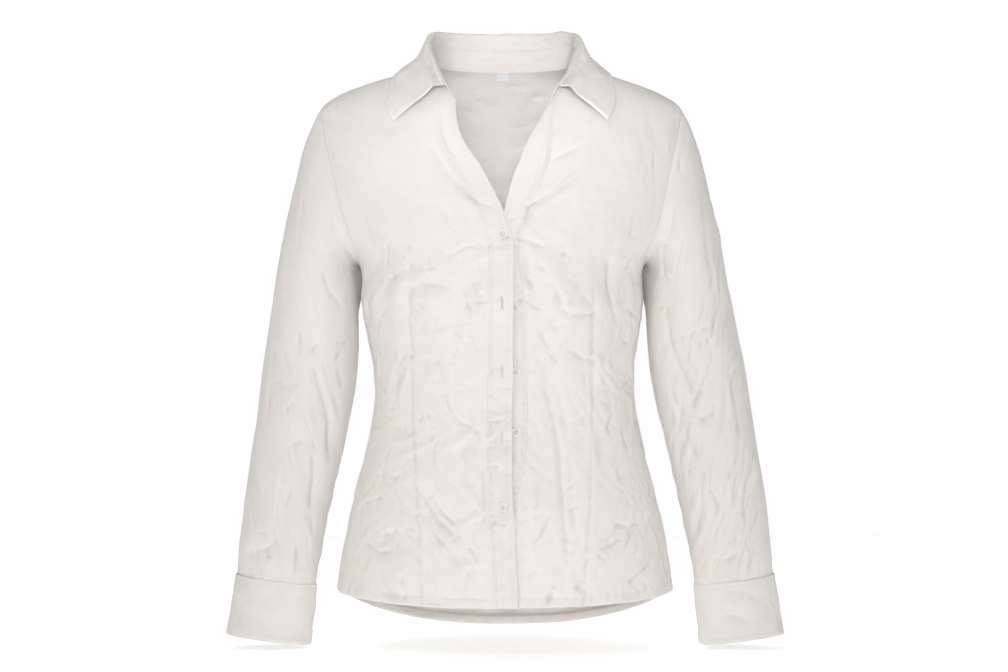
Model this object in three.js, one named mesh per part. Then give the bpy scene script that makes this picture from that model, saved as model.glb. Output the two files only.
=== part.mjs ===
// A crumpled button-up shirt, fitted, with long sleeves and an open collar, keeping the hollow form it has when worn.
// Millimetres, +Z up, the front towards -Y, the wearer's right towards -X. The origin is the middle of the neck's base.
// Every piece of cloth is a wall between two layers of points. The panels lie on one skin, a stack of rounded
// sections, and meet their neighbours at seams that share points and stand SEAM_GAP apart.
import * as THREE from "three";

// ---- driving sizes ----
const CLOTH = 1.2; // one layer of cloth, with the fluff of its crumples
const BAND_CLOTH = 1.0; // the folded strips beside the front opening
const COLLAR_CLOTH = 1.3;
const CUFF_CLOTH = 2.0;
const SEAM_GAP = 0.3;
const SEAM_STEP = 0.42; // how far a turned seam's edge is moved off, to stand SEAM_GAP from a slanting edge
const ROUND = 0.87; // power of the sections: 1 is an ellipse, less is boxier

const SHOULDER_Z = -40; // shoulder point
const UNDERARM_Z = -216;
const NECK_TOP_Z = 11; // where the shoulder seams reach the neck
const BACK_NECK_Z = 7;
const SIDE_HEM_Z = -566;
const FRONT_HEM_DROP = 10.5; // below the side seams
const BACK_HEM_DROP = 53.5;
const HEM_SWEEP = 1.35; // power of the cosine that the hems follow
const FRONT_ARMHOLE_TURN = 26; // degrees that the armhole cuts in from the side
const BACK_ARMHOLE_TURN = 28;

const BAND_WIDTH = 26; // strips beside the front opening
const BUTTON_RADIUS = 5.3;
const BUTTON_THICKNESS = 2.2;
const BUTTON_RIM = 0.6;
const BUTTON_GAP = 0.6; // clear of the small bends in what it lies on
const CUFF_OVERLAP = 24;

const BAND_COLUMNS = 2;
const NECK_COLUMNS = 4; // front neckline, from the opening to the shoulder seam
const BACK_NECK_COLUMNS = 5; // half of the back neckline
const SHOULDER_COLUMNS = 7;
const SIDE_ROWS = 12; // hem to underarm
const ARMHOLE_ROWS = 14; // underarm to shoulder point, so the sleeve has twice as many round it

// ---- small tools ----
const rad = THREE.MathUtils.degToRad;
const mix = THREE.MathUtils.lerp;
const smooth = THREE.MathUtils.smoothstep;
const point = (x, y, z) => new THREE.Vector3(x, y, z);
const moved = (p, direction, distance) => p.clone().addScaledVector(direction, distance);

// A table whose first column is the key. Reading it gives the other columns on a smooth curve through the rows.
function table(columns, rows) {
  const names = columns.split(" ").slice(1);
  const keys = rows.map((row) => row[0]);
  return (key) => {
    let i = keys.findIndex((k) => k > key) - 1;
    if (i === -2) i = keys.length - 2;
    i = Math.max(0, i);
    const span = keys[i + 1] - keys[i];
    const t = THREE.MathUtils.clamp((key - keys[i]) / span, 0, 1);
    const read = {};
    names.forEach((name, column) => {
      const value = (k) => rows[k][column + 1];
      const slope = (k) => {
        const low = Math.max(k - 1, 0);
        const high = Math.min(k + 1, rows.length - 1);
        return (value(high) - value(low)) / (keys[high] - keys[low]);
      };
      const [a, b] = [value(i), value(i + 1)];
      const [sa, sb] = [slope(i) * span, slope(i + 1) * span];
      read[name] = a + t * (sa + t * (3 * (b - a) - 2 * sa - sb + t * (2 * (a - b) + sa + sb)));
    });
    return read;
  };
}

// A closed solid between two layers of points. pairs is rows of [outer point, inner point]; a wrapped row closes on itself.
function wall(pairs, wrapped = false) {
  const rows = pairs.length;
  const columns = pairs[0].length;
  const positions = pairs.flat(2).flatMap((p) => [p.x, p.y, p.z]);
  const at = (row, column, layer) => 2 * (row * columns + (column % columns)) + layer;
  const faces = [];
  const quad = (a, b, c, d) => faces.push(a, b, c, a, c, d);
  const across = wrapped ? columns : columns - 1;
  for (let r = 0; r < rows - 1; r++) {
    for (let c = 0; c < across; c++) {
      quad(at(r, c, 0), at(r, c + 1, 0), at(r + 1, c + 1, 0), at(r + 1, c, 0));
      quad(at(r, c, 1), at(r + 1, c, 1), at(r + 1, c + 1, 1), at(r, c + 1, 1));
    }
    if (!wrapped) {
      quad(at(r, 0, 0), at(r + 1, 0, 0), at(r + 1, 0, 1), at(r, 0, 1));
      quad(at(r, across, 0), at(r, across, 1), at(r + 1, across, 1), at(r + 1, across, 0));
    }
  }
  for (let c = 0; c < across; c++) {
    quad(at(0, c, 0), at(0, c, 1), at(0, c + 1, 1), at(0, c + 1, 0));
    quad(at(rows - 1, c, 0), at(rows - 1, c + 1, 0), at(rows - 1, c + 1, 1), at(rows - 1, c, 1));
  }
  const geometry = new THREE.BufferGeometry();
  geometry.setAttribute("position", new THREE.Float32BufferAttribute(positions, 3));
  geometry.setIndex(signedVolume(positions, faces) < 0 ? faces.reverse() : faces);
  geometry.computeVertexNormals();
  return geometry;
}

function signedVolume(positions, faces) {
  const corner = (k) => new THREE.Vector3().fromArray(positions, 3 * faces[k]);
  let sum = 0;
  for (let k = 0; k < faces.length; k += 3) sum += corner(k).dot(corner(k + 1).cross(corner(k + 2)));
  return sum / 6;
}

// Pairs for a grid of points: each inner point lies a thickness behind its outer point, along the grid's own normal.
function thicken(grid, thickness, wrapped = false) {
  const columns = grid[0].length;
  return grid.map((row, r) =>
    row.map((p, c) => {
      const [left, right] = wrapped
        ? [(c + columns - 1) % columns, (c + 1) % columns]
        : [Math.max(c - 1, 0), Math.min(c + 1, columns - 1)];
      const along = row[right].clone().sub(row[left]);
      const up = grid[Math.min(r + 1, grid.length - 1)][c].clone().sub(grid[Math.max(r - 1, 0)][c]);
      return [p, moved(p, along.cross(up).normalize(), -thickness)];
    }),
  );
}

// ---- the skin: sections of the body of the shirt ----
// width is the half width, front and back the depths before and behind the side line, middle that line's y.
const section = table("z width front back middle", [
  [-640, 188, 118, 115, 0],
  [-576, 185.5, 117, 114, 0],
  [-524, 178, 114, 109, 0],
  [-484, 170, 110, 102, 0],
  [-449, 161.5, 106, 95, 0],
  [-416, 152.5, 103, 89, 0],
  [-385, 146, 101, 84, 0],
  [-350, 142, 103, 82, 0],
  [-315, 144, 108, 85, 0],
  [-280, 150.5, 115, 91, 0],
  [-250, 155, 120, 97, 0],
  [-216, 155, 122, 102, 0],
  [-185, 172, 118, 105, 0],
  [-157, 187, 111, 106, 1],
  [-119, 198, 98, 104, 2],
  [-80, 203, 83, 98, 4],
  [-60, 201.5, 72, 92, 5],
  [-40, 198, 58, 84, 5],
  [-28, 183, 50, 79, 5],
  [-17.5, 161, 43, 74, 5],
  [-3.5, 118, 36, 67, 5],
  [4, 93, 31, 63, 5],
  [11, 73, 25, 57, 5],
]);

// The whole hangs a little off true: this is how far each height stands to the side, once all is made.
const hang = table("z x", [[-620, 1.2], [-420, 1.2], [-330, 0], [-240, -2.2], [-100, -3], [-30, -3], [20, 0], [60, 0]]);

// The point of the skin at a turn from the centre front: 90 is the side line, 180 the centre back, minus the wearer's right.
function skin(turn, z) {
  const at = section(z);
  const side = turn < 0 ? -1 : 1;
  const facing = Math.cos(rad(turn));
  const across = Math.abs(Math.sin(rad(turn))) ** ROUND;
  const deep = Math.abs(facing) ** ROUND;
  return point(side * at.width * across, at.middle + (facing > 0 ? -at.front : at.back) * deep, z);
}

function outward(turn, z) {
  const step = 0.6;
  const round = skin(turn + step, z).sub(skin(turn - step, z));
  const up = skin(turn, z + step).sub(skin(turn, z - step));
  return round.cross(up).normalize();
}

// The turn at which the skin's front has a given x, and the turn at a seam that stands half a gap off the side line.
function turnAt(x, z) {
  return Math.sign(x) * THREE.MathUtils.radToDeg(Math.asin(Math.min(1, Math.abs(x) / section(z).width) ** (1 / ROUND)));
}

function seamTurn(z, depth) {
  return THREE.MathUtils.radToDeg(Math.acos((SEAM_GAP / 2 / section(z)[depth]) ** (1 / ROUND)));
}

// ---- the largest folds ----
// Soft troughs (minus) and ridges, as straight runs seen square on to the front or the back.
const FOLD_COLUMNS = "face fromX fromZ toX toZ width height".split(" ");
const BODY_FOLDS = [
  ["front", -160, -160, -132, -205, 12, -3],
  ["front", -126, -190, -124, -240, 12, -2.5],
  ["front", -92, -455, -44, -502, 13, -3.5],
  ["front", -150, -520, -108, -500, 13, -2.5],
  ["front", 12, -188, 72, -202, 13, -2],
  ["front", 113, -205, 126, -295, 13, -3.5],
  ["front", 40, -285, 54, -380, 13, -2.5],
  ["front", 56, -385, 66, -515, 14, -3],
  ["front", 100, -516, 160, -490, 13, -2.5],
  ["back", -96, -110, -40, -215, 16, -3],
  ["back", 104, -140, 52, -250, 16, -3],
  ["back", -70, -330, -20, -372, 15, -3],
  ["back", 84, -350, 24, -398, 15, -3],
  ["back", -110, -470, -84, -585, 15, -3],
  ["back", 34, -455, 48, -590, 15, 2.5],
  ["back", 122, -440, 98, -560, 15, -3],
].map(named);
const SLEEVE_FOLDS = [
  ["front", -208, -325, -184, -425, 12, -4],
  ["front", -225, -285, -196, -300, 12, -2.5],
  ["front", -206, -430, -208, -488, 12, -3],
  ["front", -282, -532, -242, -512, 12, -3],
  ["front", -236, -412, -200, -406, 12, -2.5],
  ["front", 174, -200, 180, -292, 12, -3.5],
  ["front", 186, -300, 206, -350, 12, -3],
  ["front", 196, -383, 236, -374, 12, -2.5],
  ["front", 224, -540, 266, -520, 12, -3],
  ["front", 188, -394, 212, -426, 12, -2.5],
  ["back", -240, -300, -200, -340, 14, -3.5],
  ["back", -212, -380, -262, -420, 13, -3],
  ["back", -268, -470, -230, -500, 13, -3],
  ["back", 236, -290, 196, -330, 14, -3.5],
  ["back", 214, -372, 262, -404, 13, -3],
  ["back", 222, -470, 268, -505, 13, -3],
].map(named);

function named(row) {
  return Object.fromEntries(FOLD_COLUMNS.map((name, k) => [name, row[k]]));
}

function foldHeight(folds, p, facing) {
  return folds.reduce((sum, fold) => {
    const shown = smooth(fold.face === "front" ? -facing : facing, 0.05, 0.45);
    const run = new THREE.Vector2(fold.toX - fold.fromX, fold.toZ - fold.fromZ);
    const to = new THREE.Vector2(p.x - fold.fromX, p.z - fold.fromZ);
    const along = THREE.MathUtils.clamp(to.dot(run) / run.lengthSq(), 0, 1);
    const away = to.addScaledVector(run, -along).length() / fold.width;
    return sum + shown * fold.height * Math.exp(-away * away) * (0.35 + 0.65 * Math.sin(Math.PI * along));
  }, 0);
}

// ---- panels on the skin ----
// A panel is a grid in two coordinates: z, and flat, the turn times the half width, which keeps the cut's own outline.
const flatAt = (turn, z) => (section(z).width * turn) / 90;

// The outline on four sides gives the grid between them.
function between(bottom, top, left, right) {
  const columns = bottom.length - 1;
  const rows = left.length - 1;
  return left.map((start, r) =>
    bottom.map((foot, c) => {
      const [u, v] = [c / columns, r / rows];
      return [0, 1].map(
        (k) =>
          mix(foot[k], top[c][k], v) + mix(start[k], right[r][k], u) -
          mix(mix(bottom[0][k], bottom[columns][k], u), mix(top[0][k], top[columns][k], u), v),
      );
    }),
  );
}

const steps = (count, make) => Array.from({ length: count + 1 }, (_, k) => make(k / count, k));

// The seam that a front and a back share: up the side, then round the armhole, as [turn, z].
function sideLine(face) {
  const depth = face === "front" ? "front" : "back";
  const cut = face === "front" ? -FRONT_ARMHOLE_TURN : BACK_ARMHOLE_TURN;
  const seam = (z) => (face === "front" ? seamTurn(z, depth) : 180 - seamTurn(z, depth));
  const side = steps(SIDE_ROWS, (t) => mix(SIDE_HEM_Z, UNDERARM_Z, t ** 0.94)).map((z) => [seam(z), z]);
  const armhole = steps(ARMHOLE_ROWS, (t) => {
    const round = Math.PI * (1 - t);
    const z = mix(SHOULDER_Z, UNDERARM_Z, (1 - Math.cos(round)) / 2);
    return [seam(z) + cut * Math.max(0, Math.sin(round)), z];
  });
  return [...side, ...armhole.slice(1)];
}

function shoulderLine(face) {
  const depth = face === "front" ? "front" : "back";
  return steps(SHOULDER_COLUMNS, (t) => {
    const z = mix(NECK_TOP_Z, SHOULDER_Z, t ** 0.95);
    return [face === "front" ? seamTurn(z, depth) : 180 - seamTurn(z, depth), z];
  });
}

// Hems sweep down from the side seams to the middle.
function hemLine(from, to, drop, count) {
  return steps(count, (t) => {
    const turn = mix(from, to, t);
    return [turn, SIDE_HEM_Z - drop * Math.abs(Math.cos(rad(turn))) ** HEM_SWEEP];
  });
}

const asFlat = ([turn, z]) => [flatAt(turn, z), z];

// Half of a panel as rows of turn and z, from its middle edge out to the side line.
function halfPanel(face, middleEdge, neck) {
  const shoulder = shoulderLine(face);
  const top = [...neck.slice(0, -1), ...shoulder];
  const drop = face === "front" ? FRONT_HEM_DROP : BACK_HEM_DROP;
  const bottom = hemLine(middleEdge[0][0], sideLine(face)[0][0], drop, top.length - 1);
  const flat = between(bottom.map(asFlat), top.map(asFlat), middleEdge.map(asFlat), sideLine(face).map(asFlat));
  return flat.map((row) => row.map(([across, z]) => [(90 * across) / section(z).width, z]));
}

// The front edges, up from the hem, over the crossing and along the open neck: x to the panel's own side, at each z,
// as they hang.
const EDGE = {
  right: table("z x", [
    [-577, -14.9], [-519, -12.7], [-453, -9], [-379, -8.4], [-323, -9.4], [-252, -9.8], [-197, -10], [-182, -7.3],
    [-168, -2], [-159, 0.4], [-140, 9], [-119, 19.5], [-103, 28.4], [-90, 37], [-73, 44.5], [-50, 48.3], [-33, 48.5],
  ]),
  left: table("z x", [
    [-577, -13], [-519, -13], [-470, -13], [-435, -7], [-393, -1], [-330, -2], [-262, -4], [-205, -11],
    [-184, -9], [-157, 0], [-130, 6.9], [-106, 15.7], [-88, 22.8], [-73, 31.8], [-56, 42.6], [-41, 50],
  ]),
};
const NECK = {
  right: [[48.5, -33], [56, -20], [64.5, -6], [70, 4]],
  left: [[50, -41], [61.5, -29], [67, -11], [71, 2]],
};
const HUNG_BELOW = { from: -110, to: -45 }; // above this the edges follow the neck seam instead
const UNDERARM_ROW_Z = -250; // the front edge's height in the row that ends at the underarm

// The wearer's right front passes over the left one, so it is lifted along the opening.
const LIFT = table("z lift", [
  [-577, 3], [-500, 3], [-440, 4.2], [-410, 5.7], [-393, 5.8], [-330, 5.8], [-262, 5.8], [-240, 5.6], [-205, 4], [-160, 3],
  [-120, 1], [-80, 0], [0, 0],
]);

function liftAt(hand, x, z) {
  return hand === "right" ? LIFT(z).lift * smooth(x, -46, -16) : 0;
}

function onBody(turn, z, lift) {
  const p = skin(turn, z);
  const normal = outward(turn, z);
  return { p: moved(p, normal, foldHeight(BODY_FOLDS, p, normal.y) + lift), normal };
}

const layered = (spot, from, thickness) => [moved(spot.p, spot.normal, from), moved(spot.p, spot.normal, from - thickness)];

function edgeX(hand, z) {
  const side = hand === "right" ? -1 : 1;
  return EDGE[hand](z).x - side * hang(z).x * (1 - smooth(z, HUNG_BELOW.from, HUNG_BELOW.to));
}

// The place at a distance in from a front's edge, as [x, z]: square to the edge, and along the neck seam at its top.
function beside(hand, z, distance) {
  const x = edgeX(hand, z);
  const lean = (edgeX(hand, z + 3) - edgeX(hand, z - 3)) / 6;
  const slant = Math.hypot(1, lean);
  const [start, , end] = NECK[hand];
  const share = distance / BAND_WIDTH;
  const atNeck = smooth(z, start[1] - 55, start[1]);
  return [
    x + mix(distance / slant, share * (end[0] - start[0]), atNeck),
    z + mix((-distance * lean) / slant, share * (end[1] - start[1]), atNeck),
  ];
}

// A front's first columns run beside its edge, under the band, and the rest spread from there to the side line.
function frontPanel(hand) {
  const side = hand === "right" ? -1 : 1;
  const neckZ = NECK[hand][0][1];
  const hemZ = SIDE_HEM_Z - FRONT_HEM_DROP;
  const heights = steps(SIDE_ROWS + ARMHOLE_ROWS, (_, r) =>
    r < SIDE_ROWS
      ? mix(hemZ, UNDERARM_ROW_Z, r / SIDE_ROWS)
      : mix(UNDERARM_ROW_Z, neckZ, (r - SIDE_ROWS) / ARMHOLE_ROWS),
  );
  const column = (distance) => heights.map((z) => beside(hand, z, distance)).map(([x, z]) => [turnAt(x, z), z]);
  const banded = steps(BAND_COLUMNS, (t) => column(t * BAND_WIDTH));
  const neck = [...NECK[hand].slice(BAND_COLUMNS).map(([x, z]) => [turnAt(x, z), z]), [90, NECK_TOP_Z]];
  const rest = halfPanel("front", banded[BAND_COLUMNS], neck);
  const spots = rest.map((row, r) =>
    [...banded.slice(0, BAND_COLUMNS).map((line) => line[r]), ...row].map(([turn, z]) =>
      onBody(side * turn, z, liftAt(hand, skin(side * turn, z).x, z)),
    ),
  );
  return { spots, pairs: spots.map((row) => row.map((spot) => layered(spot, 0, CLOTH))) };
}

function backPanel() {
  const edge = sideLine("back").map(([, z], r, all) => {
    const share = r / (all.length - 1);
    return [180, mix(SIDE_HEM_Z - BACK_HEM_DROP, BACK_NECK_Z, share ** 0.92)];
  });
  const neck = steps(BACK_NECK_COLUMNS, (t) => [mix(180, 90, t), mix(BACK_NECK_Z, NECK_TOP_Z, t * t)]);
  const half = halfPanel("back", edge, neck);
  const spots = half.map((row) => [
    ...row.slice(1).reverse().map(([turn, z]) => onBody(-turn, z, 0)),
    ...row.map(([turn, z]) => onBody(turn, z, 0)),
  ]);
  return { spots, pairs: spots.map((row) => row.map((spot) => layered(spot, 0, CLOTH))) };
}

const panels = { right: frontPanel("right"), left: frontPanel("left"), back: backPanel() };

// The folded strip beside a front's opening lies on its panel's own points, and stops just short of the neck seam.
function frontBand(hand) {
  const rows = panels[hand].spots.map((row) =>
    row.slice(0, BAND_COLUMNS + 1).map((spot) => layered(spot, SEAM_GAP + BAND_CLOTH, BAND_CLOTH)),
  );
  const below = rows.at(-2);
  rows[rows.length - 1] = rows.at(-1).map((pair, c) => pair.map((p, layer) => below[c][layer].clone().lerp(p, 0.84)));
  return rows;
}

// A seam's own pairs moved off the panel's edge, in the panel's own plane, to begin the piece that is sewn there.
// leaving holds, for each pair, a direction on the side of the seam that the new piece is on.
function seamStart(seam, leaving, wrapped = false) {
  const last = seam.length - 1;
  const across = seam.map(([outer, inner], k) => {
    const before = seam[k ? k - 1 : wrapped ? last : 0][0];
    const after = seam[k < last ? k + 1 : wrapped ? 0 : last][0];
    return after.clone().sub(before).cross(outer.clone().sub(inner)).normalize();
  });
  const sign = Math.sign(across.reduce((sum, direction, k) => sum + direction.dot(leaving[k]), 0));
  return seam.map((pair, k) => pair.map((p) => moved(p, across[k], sign * SEAM_STEP)));
}

// ---- sleeves ----
// Each section runs from an outer point (ox, oz) to an inner point (ix, iz); deep is its half depth, y its middle.
const sleeveSection = table("t ox oz ix iz deep y", [
  [0, 198, -40, 155, -216, 53, 3],
  [1, 204.5, -52, 156.8, -212.4, 55, 3],
  [2, 211, -67, 158.6, -211.2, 57, 2],
  [3, 218.5, -90, 160.4, -212, 59, 2],
  [4, 227, -124, 161.6, -215, 60.5, 1],
  [5, 236, -166, 161.8, -221, 61, 1],
  [6, 244, -207, 160, -234, 61, 0],
  [7, 251.5, -247, 158, -259, 60, 0],
  [8, 259.5, -294, 158.8, -303, 57, -1],
  [9, 266.5, -340, 164.5, -351, 53, -3],
  [10, 273, -385, 173.5, -396, 49, -6],
  [11, 279.5, -430, 184, -441, 45, -9],
  [12, 285.5, -475, 194, -487, 41, -13],
  [13, 290, -518, 202, -530, 37, -17],
  [14, 292.5, -549, 206.5, -561, 32, -19],
]);
const SLEEVE_RINGS = 20;
const SLEEVE_END = 14;
const CAP_END = 6; // the section by which the sleeve has left the armhole's own form

function sleeveRing(t, count) {
  const at = sleeveSection(t);
  return steps(count - 1, (_, k) => {
    const round = (2 * Math.PI * k) / count;
    const share = (1 + Math.cos(round)) / 2;
    return point(mix(at.ix, at.ox, share), at.y - at.deep * Math.sin(round), mix(at.iz, at.oz, share));
  });
}

// The armhole's pairs, from the shoulder point down the front and up the back, as seen on one side of the shirt.
function armholePairs(side) {
  const front = panels[side < 0 ? "right" : "left"].pairs;
  const back = panels.back.pairs;
  const last = front[0].length - 1;
  const edge = side < 0 ? 0 : back[0].length - 1;
  const top = SIDE_ROWS + ARMHOLE_ROWS;
  const down = steps(ARMHOLE_ROWS - 1, (_, k) => front[top - k][last]);
  const up = steps(ARMHOLE_ROWS - 1, (_, k) => back[SIDE_ROWS + k][edge]);
  return [...down, ...up];
}

function sleeve(side) {
  const armhole = armholePairs(side);
  const count = armhole.length;
  const handed = (ring) => ring.map((p) => point(side * p.x, p.y, p.z));
  const first = handed(sleeveRing(0, count));
  const grid = steps(SLEEVE_RINGS, (share) => {
    const t = SLEEVE_END * share;
    const fade = 1 - smooth(t, 0, CAP_END);
    return handed(sleeveRing(t, count)).map((p, k) => p.add(armhole[k][0].clone().sub(first[k]).multiplyScalar(fade)));
  });
  const folded = grid.map((ring, r) => {
    const middle = ring.reduce((sum, p) => sum.add(p), point(0, 0, 0)).divideScalar(count);
    return ring.map((p) => {
      const out = p.clone().sub(middle).normalize();
      const height = foldHeight(SLEEVE_FOLDS, p, out.y) * smooth(r, 3, 8) * (1 - smooth(r, 21, 24));
      return moved(p, out, height);
    });
  });
  const pairs = thicken(folded, side < 0 ? -CLOTH : CLOTH, true);
  const leaving = pairs[1].map(([outer], k) => outer.clone().sub(armhole[k][0]));
  pairs[0] = seamStart(armhole, leaving, true);
  return pairs;
}

// ---- cuffs ----
// The cuff is a strip round the wrist whose end passes over its start, at the back.
const CUFF = {
  top: { ox: 294.6, oz: -549.2, ix: 205.4, iz: -560.8, deep: 32.4, y: -19 },
  foot: { ox: 305, oz: -613.4, ix: 211.4, iz: -625.4, deep: 34, y: -21 },
};
const CUFF_START = 300; // degrees round from the outer point by way of the front
const CUFF_COLUMNS = 28;

function cuffGrid(side) {
  const turnOver = (CUFF_OVERLAP / 40) * (180 / Math.PI);
  return ["top", "foot"].map((end) => {
    const at = CUFF[end];
    return steps(CUFF_COLUMNS, (t) => {
      const round = rad(CUFF_START - t * (360 + turnOver));
      const over = (CUFF_CLOTH + 0.5) * smooth(t, 0.8, 0.91);
      const share = (1 + Math.cos(round)) / 2;
      const out = point(Math.cos(round), -Math.sin(round), 0);
      const p = point(mix(at.ix, at.ox, share), at.y - at.deep * Math.sin(round), mix(at.iz, at.oz, share));
      p.addScaledVector(out, over);
      p.x *= side;
      return end === "top" ? p.add(point(0, 0, -SEAM_STEP)) : p;
    });
  });
}

function cuff(side) {
  const [top, foot] = cuffGrid(side);
  const middle = top.map((p, k) => p.clone().lerp(foot[k], 0.5));
  return thicken([top, middle, foot], side < 0 ? CUFF_CLOTH : -CUFF_CLOTH);
}

// ---- collar ----
// The neck seam from the wearer's right to the left, as pairs, and each place's share of the way from the centre back.
function neckSeam() {
  const rightTop = panels.right.pairs.at(-1).slice(0, NECK_COLUMNS);
  const leftTop = panels.left.pairs.at(-1).slice(1, NECK_COLUMNS);
  const backTop = panels.back.pairs.at(-1).slice(SHOULDER_COLUMNS, -SHOULDER_COLUMNS);
  const seam = [...rightTop, ...backTop, ...leftTop.reverse()];
  const centre = rightTop.length + BACK_NECK_COLUMNS;
  const along = [0];
  seam.forEach((pair, k) => k && along.push(along[k - 1] + pair[0].distanceTo(seam[k - 1][0])));
  return seam.map((pair, k) => {
    const end = k < centre ? along[centre] : along.at(-1) - along[centre];
    return { pair, side: k < centre ? -1 : 1, share: Math.abs(along[k] - along[centre]) / end };
  });
}

// The line where the collar rolls over, and the turn and height at which the leaf's outer edge rests on the skin.
const roll = table("share x y z", [
  [0, 0, 71, 51], [0.14, 30, 68, 51], [0.28, 56, 57, 51], [0.42, 73, 37, 49], [0.56, 80, 9, 41],
  [0.67, 79.5, -10, 27], [0.78, 75, -27, 13], [0.89, 68, -43, 0], [1, 59.5, -57, -13],
]);
const leafEdge = table("share turn z off swell", [
  [0, 180, 1, 5.5, 5], [0.14, 166, 0.5, 5.5, 5], [0.28, 150, -1, 5, 4], [0.42, 122, -4, 4.5, 0], [0.56, 91, -4, 3.5, -4],
  [0.67, 70, -5.5, 3.5, -2], [0.78, 52, -12, 4, 1], [0.89, 41, -26, 4, 3], [1, 33.6, -55, 4, 3],
]);
const STAND_SHARE = 0.56; // of the height to the roll
const ROLL_RADIUS = 2.9;

// One cross-section of the collar's shown face: up the inside, over the roll and down to the leaf's edge.
function collarLine({ pair, side, share }) {
  const foot = pair[1].clone();
  const r = roll(share);
  const top = point(side * r.x, r.y, r.z);
  const e = leafEdge(share);
  const rest = moved(skin(side * e.turn, e.z), outward(side * e.turn, e.z), e.off);
  const rise = top.clone().sub(foot).normalize();
  const out = rest.clone().sub(top).setZ(0).normalize();
  return { foot, top, rest, rise, out, bulge: e.swell };
}

function collarStand() {
  const seam = neckSeam();
  const lines = seam.map(collarLine);
  const grid = [0, 0.34, 0.67, 1].map((height) =>
    lines.map(({ foot, top, rise }) => moved(foot, rise, height * foot.distanceTo(top) * STAND_SHARE)),
  );
  const pairs = thicken(grid, COLLAR_CLOTH);
  const start = seamStart(seam.map(({ pair }) => pair), lines.map(({ rise }) => rise));
  pairs[0] = start.map(([outer, inner]) => [inner, outer]);
  return pairs;
}

function collarLeaf() {
  const lines = neckSeam().map(collarLine);
  const columns = lines.map(({ foot, top, rest, rise, out, bulge }) => {
    const seam = moved(foot, rise, foot.distanceTo(top) * STAND_SHARE + SEAM_STEP);
    const inside = moved(top, rise, -ROLL_RADIUS);
    const over = moved(inside, out, 2 * ROLL_RADIUS);
    const crown = inside.clone().lerp(over, 0.5).addScaledVector(rise, 2 * ROLL_RADIUS);
    const down = rest.clone().sub(over);
    const swell = point(0, 0, 1).addScaledVector(out, 1.2).normalize();
    const fall = (t) => moved(moved(over, down, t), swell, bulge * Math.sin(Math.PI * t) * (1 - 0.35 * t));
    const bend = (t) => inside.clone().lerp(crown, t).lerp(crown.clone().lerp(over, t), t);
    return [seam, inside, bend(0.25), bend(0.5), bend(0.75), over, ...[0.2, 0.42, 0.64, 0.84, 1].map(fall)];
  });
  const grid = columns[0].map((_, r) => columns.map((line) => line[r]));
  const pairs = thicken(grid, COLLAR_CLOTH);
  pairs[0] = collarStand().at(-1).map((pair, k) => pair.map((p) => moved(p, lines[k].rise, SEAM_STEP)));
  return pairs;
}

// ---- buttons and label ----
// x and z as they hang, seen from the front. A buttoned one lies on the right front's band, an undone one on the left's.
const BUTTONS = [
  { name: "button_1", x: -1.6, z: -183, hand: "right" },
  { name: "button_2", x: 10.3, z: -259, hand: "left" },
  { name: "button_3", x: 12.2, z: -328, hand: "left" },
  { name: "button_4", x: 12.6, z: -392, hand: "left" },
  { name: "button_5", x: -1, z: -471, hand: "right" },
];

function buttonGeometry() {
  const well = BUTTON_THICKNESS - BUTTON_RIM;
  const profile = [
    [0, 0], [BUTTON_RADIUS - 0.8, 0], [BUTTON_RADIUS, 0.9], [BUTTON_RADIUS - 0.4, BUTTON_THICKNESS],
    [BUTTON_RADIUS - 1.6, BUTTON_THICKNESS], [BUTTON_RADIUS - 2.2, well], [0, well],
  ].map(([r, y]) => new THREE.Vector2(r, y));
  return new THREE.LatheGeometry(profile, 12);
}

function placedButton(name, spot, normal) {
  const button = new THREE.Mesh(buttonGeometry(), BUTTON_SHELL);
  button.name = name;
  button.position.copy(spot).setX(spot.x + hang(spot.z).x);
  button.quaternion.setFromUnitVectors(point(0, 1, 0), normal);
  return button;
}

// The y of a band's outer face where a line square to the front meets it.
function bandFace(hand, x, z) {
  const face = frontBand(hand).map((row) => row.map(([outer]) => outer));
  const ray = new THREE.Ray(point(x, -400, z), point(0, 1, 0));
  const hit = point(0, 0, 0);
  for (let r = 0; r < face.length - 1; r++) {
    for (let c = 0; c < BAND_COLUMNS; c++) {
      const [a, b, d, e] = [face[r][c], face[r][c + 1], face[r + 1][c + 1], face[r + 1][c]];
      if (ray.intersectTriangle(a, b, d, false, hit) || ray.intersectTriangle(a, d, e, false, hit)) return hit.y;
    }
  }
  throw new Error(`no band at ${x}, ${z}`);
}

function frontButton({ name, x: hungX, z, hand }) {
  const x = hungX - hang(z).x;
  const normal = outward(turnAt(x, z), z);
  return placedButton(name, moved(point(x, bandFace(hand, x, z), z), normal, BUTTON_GAP), normal);
}

function cuffButton(name, side) {
  const [top, foot] = cuffGrid(side);
  const column = CUFF_COLUMNS - 2;
  const spot = top[column].clone().lerp(foot[column], 0.5);
  const along = top[column + 1].clone().sub(top[column - 1]);
  const down = foot[column].clone().sub(top[column]);
  const normal = along.cross(down).normalize().multiplyScalar(side < 0 ? 1 : -1);
  return placedButton(name, moved(spot, normal, BUTTON_GAP), normal);
}

// The label hangs inside the back, on that panel's own points, from just under the neck seam.
const LABEL = { reach: 0.36, rows: [0.94, 0.52], gap: 0.5, thickness: 0.8 };

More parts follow.
